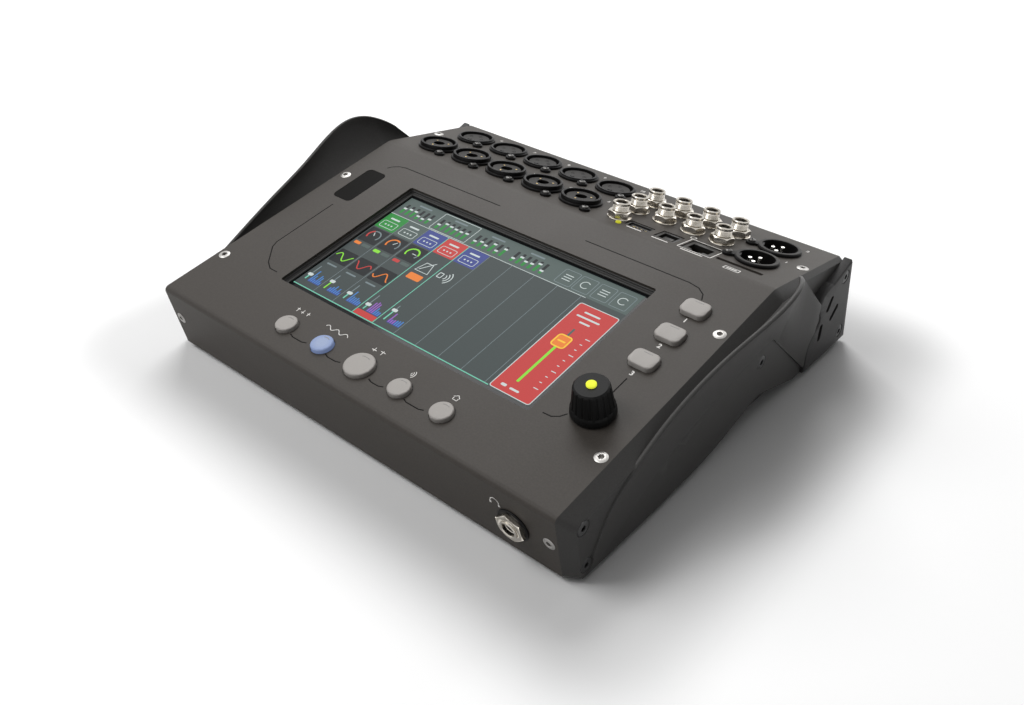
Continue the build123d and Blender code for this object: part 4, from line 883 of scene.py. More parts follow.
# --------------------------------------------------------------------------- studio
@dataclass(frozen=True)
class Lamp:
    """A soft square lamp that faces the desk, with its bearing and height in degrees."""

    name: str
    bearing: float
    height: float
    power: float
    distance: float = 1.7
    size: float = 0.9
    aim: Triple = (0.0, 0.0, 0.03)

    def hang(self) -> None:
        """Hangs the lamp at its bearing from the rear and at its height."""
        data = bpy.data.lights.new(self.name, "AREA")
        data.shape = "SQUARE"
        data.size = self.size
        data.energy = self.power
        lamp = bpy.data.objects.new(self.name, data)
        bearing, height = math.radians(self.bearing), math.radians(self.height)
        lamp.location = (self.distance * math.sin(bearing) * math.cos(height),
                         self.distance * math.cos(bearing) * math.cos(height),
                         self.distance * math.sin(height))
        ray = Vector(self.aim) - lamp.location
        lamp.rotation_euler = ray.to_track_quat("-Z", "Y").to_euler()
        bpy.context.scene.collection.objects.link(lamp)


@dataclass
class Studio:
    """Pale floor with a painted shade round the desk, soft lights and the camera.

    The camera's turn is in degrees, and its lens and sensor are in millimetres.
    """

    camera_place: Triple = (0.29138, -0.34098, 0.30861)
    camera_turn: Triple = (54.9438, -0.4883, 40.6349)
    lens: float = 35.793
    sensor: float = 36.0
    nearest: float = 0.01
    floor_size: float = 12.0
    floor_gap: float = 0.0002
    floor_roughness: float = 0.9
    floor_specular: float = 0.1
    floor_tone: float = 0.81
    # Glow of the seen floor outside a painted shade round the desk, and the distances in metres
    # over which that shade fades out.
    floor_glow: float = 0.26
    glow_starts: float = 0.02
    glow_full: float = 0.06
    white_starts: float = 0.25
    white_full: float = 1.3
    world_light: float = 0.13
    lamps: tuple[Lamp, ...] = (
        Lamp("left_front_key", 225.0, 50.0, 14.5),
        Lamp("left_rear_key", 315.0, 50.0, 17.0),
        Lamp("rear_rim", 0.0, 25.0, 5.5),
        Lamp("front_fill", 180.0, 50.0, 2.3),
    )

    def camera(self) -> None:
        """Stands the camera where the desk is seen from its front right corner."""
        data = bpy.data.cameras.new("camera")
        data.lens = self.lens
        data.sensor_width = self.sensor
        data.clip_start = self.nearest
        camera = bpy.data.objects.new("camera", data)
        camera.location = self.camera_place
        camera.rotation_euler = Euler([math.radians(v) for v in self.camera_turn], "XYZ")
        bpy.context.scene.collection.objects.link(camera)
        bpy.context.scene.camera = camera

    def seen(self, tree: bpy.types.NodeTree) -> Socket:
        """Tells a surface that is seen, also in gloss or through glass, from one that only lights.

        Args:
            tree: The material's or the world's node tree.

        Returns:
            A socket that is one where the surface is seen and nought elsewhere.
        """
        path = tree.nodes.new("ShaderNodeLightPath")
        found = path.outputs["Is Camera Ray"]
        for name in ("Is Glossy Ray", "Is Transmission Ray"):
            either = tree.nodes.new("ShaderNodeMath")
            either.operation = "MAXIMUM"
            tree.links.new(found, either.inputs[0])
            tree.links.new(path.outputs[name], either.inputs[1])
            found = either.outputs[0]
        return found

    def beyond(self, nodes: Nodes) -> Socket:
        """Measures how far a place on the floor lies outside the desk's own footprint."""
        low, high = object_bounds()
        half = (max(high[0], -low[0]), max(high[1], -low[1]), 1.0)
        found = nodes.place.outputs["Object"]
        steps = (("ABSOLUTE", None), ("SUBTRACT", half), ("MAXIMUM", (0.0, 0.0, 0.0)))
        for operation, other in steps:
            step = nodes.add("ShaderNodeVectorMath", operation=operation)
            nodes.link(found, step.inputs[0])
            if other is not None:
                step.inputs[1].default_value = other
            found = step.outputs["Vector"]
        length = nodes.add("ShaderNodeVectorMath", operation="LENGTH")
        nodes.link(found, length.inputs[0])
        return length.outputs["Value"]

    def floor(self) -> None:
        """Lays a pale floor with a painted shade round the desk's foot; it turns white away from
        the desk and keeps the shadow.
        """
        nodes = Nodes("pale_floor")
        nodes.shader.inputs["Base Color"].default_value = (self.floor_tone,) * 3 + (1.0,)
        nodes.shader.inputs["Roughness"].default_value = self.floor_roughness
        nodes.shader.inputs["Specular IOR Level"].default_value = self.floor_specular
        away = self.beyond(nodes)
        fades = []
        # The first fade is a painted shade: the seen floor's glow is held back near the desk's
        # footprint. The second turns the far floor white.
        for starts, full, most in ((self.glow_starts, self.glow_full, self.floor_glow),
                                   (self.white_starts, self.white_full, 1.0)):
            fade = nodes.add("ShaderNodeMapRange", interpolation_type="SMOOTHSTEP",
                             in_From_Min=starts, in_From_Max=full, in_To_Max=most)
            nodes.link(away, fade.inputs["Value"])
            fades.append(fade)
        both = nodes.add("ShaderNodeMath", operation="ADD")
        nodes.link(fades[0].outputs["Result"], both.inputs[0])
        nodes.link(fades[1].outputs["Result"], both.inputs[1])
        glow = nodes.add("ShaderNodeMath", operation="MULTIPLY")
        nodes.link(self.seen(nodes.tree), glow.inputs[0])
        nodes.link(both.outputs[0], glow.inputs[1])
        nodes.shader.inputs["Emission Color"].default_value = (1.0, 1.0, 1.0, 1.0)
        nodes.link(glow.outputs[0], nodes.shader.inputs["Emission Strength"])
        clear_selection()
        bpy.ops.mesh.primitive_plane_add(size=self.floor_size, location=(0, 0, -self.floor_gap))
        floor = new_piece("floor")
        floor.data.materials.append(nodes.material)
        floor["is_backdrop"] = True

    def world(self) -> None:
        """White where it is seen, softer as light."""
        world = bpy.data.worlds.new("studio")
        bpy.context.scene.world = world
        world.use_nodes = True
        tree = world.node_tree
        ground = tree.nodes["Background"]
        level = tree.nodes.new("ShaderNodeMapRange")
        level.inputs["To Min"].default_value = self.world_light
        level.inputs["To Max"].default_value = 1.0
        tree.links.new(self.seen(tree), level.inputs["Value"])
        ground.inputs["Color"].default_value = (1.0, 1.0, 1.0, 1.0)
        tree.links.new(level.outputs["Result"], ground.inputs["Strength"])

    def build(self) -> None:
        """Builds the whole studio."""
        bpy.context.scene.view_settings.view_transform = "Standard"
        self.camera()
        self.floor()
        self.world()
        for lamp in self.lamps:
            lamp.hang()


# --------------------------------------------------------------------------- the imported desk
@dataclass
class PackedDesk:
    """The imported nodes, and the body that carries each of them."""

    nodes: dict[str, Obj]
    body_of: dict[str, str]

    @classmethod
    def load(cls) -> PackedDesk:
        """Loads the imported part."""
        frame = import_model()
        bodies = frame["record"]["behaviour"]["bodies"]
        return cls(frame["nodes"], {node: body for body, names in bodies.items() for node in names})

    def named(self, start: str) -> list[str]:
        """Names of the nodes that start with the given words, in order."""
        return sorted(name for name in self.nodes if name.startswith(start))

    def dress(self, finish: Finish, *names: str) -> None:
        """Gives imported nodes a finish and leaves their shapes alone."""
        for name in names:
            dress(self.nodes[name], finish)

    def hand_over(self, obj: Obj, body: str, slot: str, *nodes: str) -> Obj:
        """Makes a finished piece ride on a body and stand for its nodes.

        Args:
            obj: The piece, with its place in its mesh.
            body: The body it moves with.
            slot: The record's material slot; not used.
            *nodes: Nodes that the piece stands for.

        Returns:
            The piece.
        """
        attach(obj, body)
        if nodes:
            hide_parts(*nodes)
        log.info("%s rides on %s with %d faces", obj.name, body, len(obj.data.polygons))
        return obj

    def refined(self, name: str, finish: Finish | Material, slot: str, width: float = 0.0,
                segments: int = 2, angle: float = 30.0) -> Obj:
        """Stands a merged copy of a rigid node in its place, with rounded edges and smooth bends.

        Args:
            name: The node.
            finish: The finish.
            slot: The record's material slot.
            width: Width of the edge rounding, in mm; nought only smooths.
            segments: Steps across the rounding.
            angle: Edges sharper than this many degrees stay edges.

        Returns:
            The new piece.
        """
        copy = copy_at(self.nodes[name], f"{name}_finished", Matrix.Identity(4))
        copy.hide_render = False
        pick(copy)
        bpy.ops.object.mode_set(mode="EDIT")
        bpy.ops.mesh.select_all(action="SELECT")
        bpy.ops.mesh.remove_doubles(threshold=2e-6)
        if width > 0:
            bpy.ops.mesh.dissolve_limited(angle_limit=math.radians(0.5))
        bpy.ops.object.mode_set(mode="OBJECT")
        if copy.data.has_custom_normals:
            bpy.ops.mesh.customdata_custom_splitnormals_clear()
        soften(copy, width, segments, angle)
        dress(copy, finish)
        return self.hand_over(copy, self.body_of[name], slot, name)

    def place_copies(self, pattern: Obj, name: str, places: Iterable[Matrix], body: str,
                     slot: str, nodes: Sequence[str] = ()) -> None:
        """Copies a pattern to each place and removes the pattern.

        Args:
            pattern: The finished pattern at the origin.
            name: The copies' name, to which a number is added.
            places: Where the copies go.
            body: The body that the copies move with.
            slot: The record's material slot.
            nodes: Nodes that the copies stand for together.
        """
        for number, place in enumerate(places, 1):
            piece = copy_at(pattern, f"{name}_{number}", place)
            self.hand_over(piece, body, slot, *(nodes if number == 1 else ()))
        drop(pattern)


# --------------------------------------------------------------------------- casing and screws
@dataclass
class Casing:
    """Folded top, tray, cheeks, brackets and feet.

    A flat facet leans in under a crease on each cheek. It starts as a point near the front foot,
    deepens towards the rear and ends there at a step with a rounded top. The crease starts at a
    place back and up from the front fold, and its rise and the facet's lean are in degrees.
    """

    facet_block: Triple = (240.0, 110.0, 24.0)
    crease_from: Point = (-77.5, 9.8)
    crease_rise: float = 24.7
    step_along: float = 108.8
    step_slope: float = 0.423
    step_corner: float = 12.0
    facet_lean: float = 1.3

    def facet_cutter(self, way: int) -> Obj:
        """The block that cuts the facet into a cheek.

        Args:
            way: One for the right cheek, minus one for the left.

        Returns:
            The block, in its place.
        """
        length, depth, out = self.facet_block
        centre = (self.step_along - length / 2, -depth / 2, out / 2)
        tool = block("facet", self.facet_block, centre, self.step_corner, 10)
        moved(tool, Matrix(((1, -self.step_slope, 0, 0), (0, 1, 0, 0), (0, 0, 1, 0), (0, 0, 0, 1))))
        rise, lean = math.radians(self.crease_rise), math.radians(self.facet_lean)
        along = Vector((0.0, math.cos(rise), math.sin(rise)))
        upright = math.cos(lean)
        up = Vector((math.sin(lean), -upright * math.sin(rise), upright * math.cos(rise)))
        turn = Matrix((along, up, along.cross(up))).transposed().to_4x4()
        start = Vector((LAYOUT.cheek_face, *self.crease_from)) * MM
        moved(tool, Matrix.Translation(start) @ turn)
        if way < 0:
            moved(tool, Matrix.Diagonal((-1.0, 1.0, 1.0, 1.0)))
            tool.data.flip_normals()
        return tool

    def build(self, desk: PackedDesk) -> None:
        """Finishes the casing's pieces."""
        desk.refined("top_chassis", Finish.PANEL_COAT, "chassis_paint")
        desk.refined("base_tray", Finish.TRAY_COAT, "tray_steel")
        for side, way in (("left", -1), ("right", 1)):
            cheek = desk.refined(f"{side}_cheek", Finish.CHEEK_MOULDING, "cheek_plastic", angle=40)
            cut(cheek, self.facet_cutter(way))
            desk.refined(f"{side}_rear_bracket", Finish.BRACKET_COAT, "bracket_metal", angle=40)
        desk.refined("rubber_feet", Finish.FOOT_RUBBER, "foot_rubber")


@dataclass
class SunkScrews:
    """Screws with a low domed head and a hexagonal recess, each turned a little further."""

    silver_radius: float = 3.0
    black_radius: float = 3.4
    black_sink: float = 0.3
    facet_sink: float = 0.6
    dome: float = 0.35
    recess_share: float = 0.45
    silver_turn: float = 17.0
    black_turn: float = 11.0
    main_at: Sequence[Point] = ((121.6, 35.3), (121.6, 122.0))
    sockets_at: Point = (122.0, 37.6)
    front_at: Point = (121.4, -18.3)
    cheek_at: Sequence[Point] = ((9.8, -7.0), (13.6, -29.8))
    facet_at: Sequence[Point] = ((144.5, -2.0),)
    bracket_at: Sequence[Point] = ((225.0, 8.0), (232.5, -28.4))

    def head(self, radius: float, finish: Finish) -> Obj:
        """A screw's head with its face on the XY plane.

        Args:
            radius: The head's radius, in mm.
            finish: The screw's finish.

        Returns:
            The head.
        """
        recess = self.recess_share * radius
        head = turned("screw_head", [
            (0.5 * radius, -1.6), (radius, -0.5), (radius, 0.02), (0.86 * radius, 0.6 * self.dome),
            (0.6 * radius, self.dome), (AXIS, self.dome),
        ], 48)
        hexagon = [(recess, -1.1), (recess, 0.5 * self.dome), (1.2 * recess, 1.5 * self.dome)]
        cut(head, turned("recess", hexagon, 6))
        soften(head, 0.0, angle=28)
        return dress(head, finish)

    def silver_places(self) -> list[Matrix]:
        """Places of the bright screws along both edges of the top."""
        spots = [(LAYOUT.main, *p) for p in self.main_at]
        spots += [(LAYOUT.sockets, *self.sockets_at), (LAYOUT.front, *self.front_at)]
        return [face.matrix(way * x, along, turn=self.silver_turn * i)
                for i, (face, x, along) in enumerate(spots) for way in (-1, 1)]

    def black_places(self) -> list[Matrix]:
        """Places of the dark screws in the cheeks and brackets."""
        places = []
        for way in (-1, 1):
            for face, sink, spots in ((LAYOUT.cheek_face, self.black_sink, self.cheek_at),
                                      (LAYOUT.cheek_face, self.facet_sink, self.facet_at),
                                      (LAYOUT.bracket_face, self.black_sink, self.bracket_at)):
                side = LAYOUT.side(way * face)
                places += [side.matrix(way * y, z, -sink, self.black_turn * y) for y, z in spots]
        return places

    def build(self, desk: PackedDesk) -> None:
        """Sets every screw in its hole."""
        silver = self.head(self.silver_radius, Finish.SATIN_SCREW)
        desk.place_copies(silver, "silver_screw", self.silver_places(), "desk", "bright_steel",
                          ["silver_screws"])
        black = self.head(self.black_radius, Finish.BLACK_OXIDE)
        desk.place_copies(black, "black_screw", self.black_places(), "desk", "black_steel",
                          ["black_screws"])


# --------------------------------------------------------------------------- controls
@dataclass
class ButtonCaps:
    """Five round buttons and three soft keys, each with a thin light slot at its rear edge."""

    along: float = 16.6
    middle: float = 1.8
    pitch: float = 25.3
    radii: Sequence[float] = (5.5, 5.5, 7.5, 5.5, 5.5)
    proud: float = 2.0
    key_across: float = 104.4
    key_first: float = 129.6
    key_pitch: float = 20.1
    key_size: Point = (13.2, 10.2)
    key_proud: float = 2.4
    lit: int = 2
    slot_width: float = 0.45
    slot_thick: float = 0.12

    def round_slot(self, radius: float) -> Obj:
        """The curved light slot of a round button."""
        points = arc((0.0, 0.0), radius * 0.66, 62, 118, 8)
        slot = ribbon("round_light_slot", points, self.slot_width, self.slot_thick)
        return dress(slot, Finish.SLOT_GREY)

    def key_slot(self) -> Obj:
        """The straight light slot of a key."""
        half = 0.17 * self.key_size[0]
        rear = 0.33 * self.key_size[1]
        slot = ribbon("key_light_slot", [(-half, rear), (half, rear)], self.slot_width,
                      self.slot_thick)
        return dress(slot, Finish.SLOT_GREY)

    def across(self, number: int) -> float:
        """Where a round button stands across the panel, in mm."""
        return self.middle + (number - (len(self.radii) + 1) // 2) * self.pitch

    def lit_cap(self) -> Material:
        """The finish of the button that glows pale blue."""
        centre = LAYOUT.main.matrix(self.across(self.lit), self.along, self.proud).translation
        return LitFinish("lit_cap", srgb(196, 206, 226), 0.3, body=srgb(126, 140, 170),
                         centre=tuple(centre), rim=srgb(92, 128, 205)).build()

    def build(self, desk: PackedDesk) -> None:
        """Finishes the caps and lays their slots."""
        for number, radius in enumerate(self.radii, 1):
            lit = number == self.lit
            finish = self.lit_cap() if lit else Finish.CAP_GREY
            slot = "lit_button" if lit else "button_plastic"
            desk.refined(f"round_button_{number}", finish, slot, angle=45)
            place = LAYOUT.main.matrix(self.across(number), self.along, self.proud)
            desk.hand_over(moved(self.round_slot(radius), place), f"button_{number}", slot)
        for number in range(1, 4):
            desk.refined(f"soft_key_{number}", Finish.CAP_GREY, "button_plastic", angle=45)
            along = self.key_first - (number - 1) * self.key_pitch
            place = LAYOUT.main.matrix(self.key_across, along, self.key_proud)
            desk.hand_over(moved(self.key_slot(), place), f"key_{number}", "button_plastic")


@dataclass
class Encoder:
    """Fluted knob with its lit dot."""

    place: Point = (104.5, 53.0)
    top: float = 16.6
    dot_radius: float = 2.25
    dot_proud: float = 0.2
    edge: float = 0.25

    def build(self, desk: PackedDesk) -> None:
        """Finishes the knob, the dot and what carries them."""
        desk.refined("encoder_knob", Finish.KNOB_RUBBER, "knob_plastic", self.edge, 2, 35)
        desk.dress(Finish.ZINC, "encoder_shaft")
        desk.dress(Finish.SWITCH_PLASTIC, "encoder_body")
        desk.dress(Finish.NICKEL, "encoder_nut")
        dot = turned("knob_dot_lens", [
            (self.dot_radius, -1.0), (self.dot_radius, 0.05),
            (0.9 * self.dot_radius, self.dot_proud),
            (0.5 * self.dot_radius, self.dot_proud + 0.1), (AXIS, self.dot_proud + 0.12),
        ], 40)
        soften(dot, 0.0)
        dress(dot, Finish.DOT_GLOW)
        moved(dot, LAYOUT.main.matrix(*self.place, self.top))
        desk.hand_over(dot, desk.body_of["knob_dot"], "dot_plastic", "knob_dot")


# --------------------------------------------------------------------------- screen
class ScreenInk(Palette):
    """Colours of the lit picture, as they leave the glass."""

    SLATE = LitFinish("ink_slate", srgb(64, 73, 73))
    STEEL = LitFinish("ink_steel", srgb(82, 96, 93))
    RULE = LitFinish("ink_rule", srgb(120, 134, 138))
    PALE = LitFinish("ink_pale", srgb(205, 215, 214))
    TEAL = LitFinish("ink_teal", srgb(118, 205, 178))
    GREEN = LitFinish("ink_green", srgb(36, 138, 56))
    LIME = LitFinish("ink_lime", srgb(140, 225, 60))
    BLUE = LitFinish("ink_blue", srgb(62, 74, 142))
    SKY = LitFinish("ink_sky", srgb(70, 130, 200))
    VIOLET = LitFinish("ink_violet", srgb(150, 96, 190))
    RED = LitFinish("ink_red", srgb(196, 62, 60))
    ORANGE = LitFinish("ink_orange", srgb(235, 130, 50))
    YELLOW = LitFinish("ink_yellow", srgb(250, 200, 60))
    NIGHT = LitFinish("ink_night", srgb(20, 26, 30))


@dataclass
class ScreenPicture:
    """The lit picture: a generic mixing page drawn with thin flat inks on the glass.

    Each ink's layer lies a film's thickness over the one below it. Places are measured from the
    picture's lower left corner.
    """

    centre: Point = (0.3, 86.1)
    size: Point = (154.2, 86.2)
    glass_depth: float = 4.0
    film: float = 0.015
    trace_thick: float = 0.01
    column: float = 14.3
    strip_left: float = 131.0
    header: float = 70.5
    names: float = 57.0
    sends: float = 19.0
    seed: int = 12
    inks: dict[tuple[ScreenInk, int], list[Obj]] = field(default_factory=dict)

    def lay(self, ink: ScreenInk, obj: Obj, layer: int) -> None:
        """Keeps a flat shape for its ink's layer."""
        self.inks.setdefault((ink, layer), []).append(obj)

    def fill(self, ink: ScreenInk, left: float, bottom: float, width: float, height: float,
             corner: float = 0.0, layer: int = 2) -> None:
        """Lays a filled plate."""
        self.lay(ink, tile("plate", left, bottom, width, height, corner), layer)

    def frame(self, ink: ScreenInk, left: float, bottom: float, width: float, height: float,
              line: float = 0.35, corner: float = 0.8, layer: int = 3) -> None:
        """Lays an outlined plate."""
        self.lay(ink, outline(tile("frame", left, bottom, width, height, corner), line), layer)

    def trace(self, ink: ScreenInk, points: Sequence[Point], width: float, layer: int = 4,
              closed: bool = False) -> None:
        """Lays a line along points."""
        self.lay(ink, ribbon("trace", points, width, self.trace_thick, closed), layer)

    def draw_ground(self) -> None:
        """Ground, header strip and column rules."""
        width, height = self.size
        self.fill(ScreenInk.SLATE, 0, 0, width, height, layer=1)
        self.fill(ScreenInk.STEEL, 0, self.header, width, height - self.header)
        for number in range(1, 10):
            left = number * self.column
            ink = ScreenInk.TEAL if number in (3, 4) else ScreenInk.RULE
            line = 0.45 if number in (3, 4) else 0.28
            self.fill(ink, left - line / 2, 0.8, line, self.header - 0.8, layer=3)
        self.fill(ScreenInk.TEAL, 0.0, 0.2, self.strip_left, 0.55, layer=4)
        self.fill(ScreenInk.PALE, 0.0, self.header - 0.2, self.strip_left, 0.35, layer=3)

    def draw_header(self, chance: random.Random) -> None:
        """Bank groups with small level bars, and outlined icons on the right.

        Args:
            chance: Sets the bars' heights.
        """
        group = 26.0
        for bank in range(4):
            left = 1.2 + bank * group
            if bank == 1:
                self.frame(ScreenInk.PALE, left - 0.4, self.header + 0.6, group - 0.6, 14.6, 0.35)
            self.fill(ScreenInk.RULE, left + 8.0, self.header + 12.2, 9.0, 1.1, 0.4, 3)
            for bar in range(6):
                x = left + 2.0 + bar * 3.7
                high = 2.4 + 4.6 * chance.random()
                self.fill(ScreenInk.NIGHT, x, self.header + 2.2, 1.7, 8.2, 0.4, 3)
                self.fill(ScreenInk.GREEN, x, self.header + 2.2, 1.7, high, 0.4, 4)
                self.fill(ScreenInk.PALE, x - 0.3, self.header + 1.4 + high, 2.3, 1.3, 0.5, 5)
        for number, left in enumerate((110.0, 120.6, 131.6, 142.6)):
            self.frame(ScreenInk.RULE, left, self.header + 1.6, 9.6, 11.2, 0.35, 1.0)
            centre = (left + 4.8, self.header + 7.2)
            if number % 2:
                self.trace(ScreenInk.PALE, arc(centre, 2.4, 40, 320), 0.45)
            else:
                for row in (-1.8, 0.0, 1.8):
                    self.fill(ScreenInk.PALE, centre[0] - 2.4, centre[1] + row - 0.25, 4.8, 0.5,
                              layer=4)

    def draw_names(self) -> None:
        """Coloured name tiles with a bar for the name and an outlined box of dots."""
        tiles = (ScreenInk.GREEN, ScreenInk.STEEL, ScreenInk.BLUE, ScreenInk.RED, ScreenInk.BLUE)
        high = self.header - self.names - 0.4
        for number, ink in enumerate(tiles):
            left = number * self.column
            self.fill(ink, left + 0.3, self.names, self.column - 0.6, high, 0.6)
            self.fill(ScreenInk.PALE, left + 3.6, self.names + 9.0, 6.6, 1.2, 0.5, 3)
            self.frame(ScreenInk.PALE, left + 1.8, self.names + 1.4, self.column - 3.8, 5.6, 0.35,
                       1.2)
            for dot in range(3):
                self.fill(ScreenInk.PALE, left + 4.3 + 2.2 * dot, self.names + 3.6, 1.1, 1.1,
                          0.5, 4)

    def draw_dials(self) -> None:
        """Three columns of dials and curves in warm and green colours."""
        warm = (ScreenInk.RED, ScreenInk.ORANGE, ScreenInk.LIME)
        for number in range(3):
            left = number * self.column
            centre = (left + self.column / 2, self.names - 7.0)
            self.fill(ScreenInk.NIGHT, left + 0.9, self.names - 13.2, self.column - 1.8, 12.2, 0.8)
            self.trace(ScreenInk.RULE, arc(centre, 3.9, 215, -35), 0.8, 3)
            turn = 120 - 60 * number
            self.trace(warm[number], arc(centre, 3.9, 215, turn), 1.0, 4)
            self.trace(ScreenInk.PALE, [centre, arc(centre, 2.8, turn, 0, 1)[0]], 0.5, 5)
            self.fill(warm[(number + 1) % 3], left + 1.6, self.names - 16.6, 4.4, 2.2, 0.6, 3)
            self.fill(ScreenInk.STEEL, left + 7.2, self.names - 16.6, 5.6, 2.2, 0.6, 3)
            base = self.sends + 7.6
            self.fill(ScreenInk.NIGHT, left + 0.9, base - 3.6, self.column - 1.8, 10.6, 0.8)
            wave = [(left + 1.6 + 0.9 * i, base + 1.6 + 2.6 * math.sin(0.62 * i + 1.7 * number))
                    for i in range(13)]
            self.trace(warm[(number + 2) % 3], wave, 0.7, 4)
            self.fill(ScreenInk.RULE, left + 3.2, self.sends + 1.0, 7.0, 1.0, 0.4, 3)

    def draw_symbols(self) -> None:
        """White line symbols in the two columns beside the dials."""
        x, y = 3.5 * self.column, self.names - 12.0
        bell = [(x - 4.2, y - 3.4), (x - 2.2, y + 3.6), (x + 2.2, y + 3.6), (x + 4.2, y - 3.4)]
        self.trace(ScreenInk.PALE, bell, 0.6, closed=True)
        self.trace(ScreenInk.PALE, [(x - 2.6, y - 2.2), (x + 2.8, y + 5.6)], 0.5)
        self.fill(ScreenInk.ORANGE, x - 4.4, y - 10.4, 8.8, 4.6, 0.8, 3)
        x = 4.5 * self.column
        for radius in (2.0, 3.6, 5.2):
            self.trace(ScreenInk.PALE, arc((x - 2.4, y), radius, -52, 52, 8), 0.55)
        self.frame(ScreenInk.PALE, x - 5.6, y - 2.0, 3.0, 4.0, 0.5, 0.6, 4)

    def draw_sends(self, chance: random.Random) -> None:
        """A small fader and a bar graph at the foot of five columns.

        Args:
            chance: Sets the bars' heights.
        """
        for number in range(5):
            left = number * self.column
            level = 8.0 + 6.0 * chance.random()
            if number == 3:
                self.fill(ScreenInk.RED, left + 0.4, 0.9, self.column - 0.8, 3.6, 0.5, 3)
            self.fill(ScreenInk.RULE, left + 2.6, 5.4, 0.6, 11.6, 0.2, 3)
            ink = ScreenInk.LIME if number == 1 else ScreenInk.TEAL
            self.fill(ink, left + 2.5, 5.4, 0.8, level - 5.4, 0.2, 4)
            self.fill(ScreenInk.PALE, left + 1.3, level, 3.3, 2.0, 0.7, 5)
            for bar in range(6):
                high = 1.6 + 6.4 * chance.random() * (1.2 - 0.14 * bar)
                ink = ScreenInk.VIOLET if bar < 3 and number > 2 else ScreenInk.SKY
                self.fill(ink, left + 5.6 + 1.35 * bar, 5.2, 0.75, high, layer=4)
            self.fill(ScreenInk.BLUE, left + 5.2, 4.8, 8.2, 3.0, 0.4, 3)

    def draw_strip(self) -> None:
        """The red main strip with its level, handle and scale."""
        width = self.size[0] - self.strip_left
        self.fill(ScreenInk.RED, self.strip_left + 0.3, 0.6, width - 0.6, 66.0, 1.4, 3)
        self.frame(ScreenInk.PALE, self.strip_left + 0.1, 0.4, width - 0.4, 66.4, 0.45, 1.5, 4)
        middle = self.strip_left + 9.4
        self.fill(ScreenInk.STEEL, middle - 0.6, 9.0, 1.2, 41.0, 0.5, 4)
        self.fill(ScreenInk.LIME, middle - 0.7, 9.0, 1.4, 28.0, 0.5, 5)
        self.fill(ScreenInk.ORANGE, middle - 3.2, 36.6, 6.4, 7.2, 1.6, 6)
        self.frame(ScreenInk.YELLOW, middle - 4.0, 35.8, 8.0, 8.8, 0.8, 2.0, 7)
        self.fill(ScreenInk.YELLOW, middle - 2.2, 39.7, 4.4, 1.0, 0.4, 7)
        for step in range(10):
            long = 2.6 if step % 3 == 0 else 1.3
            self.fill(ScreenInk.PALE, self.strip_left + 17.6, 10.0 + 4.1 * step, long, 0.5, layer=4)
        for row, (left, wide) in enumerate(((6.0, 9.0), (4.0, 13.0), (8.0, 6.0))):
            self.fill(ScreenInk.PALE, self.strip_left + left, 61.4 - 3.4 * row, wide, 1.1, 0.5, 4)
        self.fill(ScreenInk.PALE, self.strip_left + 4.2, 3.6, 3.0, 1.6, 0.6, 4)
        self.fill(ScreenInk.PALE, self.strip_left + 9.2, 3.6, 5.2, 1.2, 0.5, 4)

    def build(self, desk: PackedDesk) -> None:
        """Draws the page and lays it on the glass."""
        chance = random.Random(self.seed)
        self.draw_ground()
        self.draw_header(chance)
        self.draw_names()
        self.draw_dials()
        self.draw_symbols()
        self.draw_sends(chance)
        self.draw_strip()
        left = self.centre[0] - self.size[0] / 2
        low = self.centre[1] - self.size[1] / 2
        for (ink, layer), shapes in self.inks.items():
            piece = joined(f"screen_{ink.name.lower()}_{layer}", shapes)
            dress(piece, ink)
            moved(piece, LAYOUT.main.matrix(left, low, self.film * layer - self.glass_depth))
            desk.hand_over(piece, "desk", "screen_glass")


@dataclass
class Display:
    """Glass, gasket and the parts behind them."""

    picture: ScreenPicture = field(default_factory=ScreenPicture)

    def build(self, desk: PackedDesk) -> None:
        """Finishes the display's pieces and draws its picture."""
        desk.refined("display_gasket", Finish.GASKET_RUBBER, "gasket_rubber", 0.4, 3)
        desk.dress(Finish.COVER_GLASS, "display_glass")
        desk.dress(Finish.MODULE_METAL, "display_module")
        desk.dress(Finish.ZINC, "display_clamps")
        self.picture.build(desk)


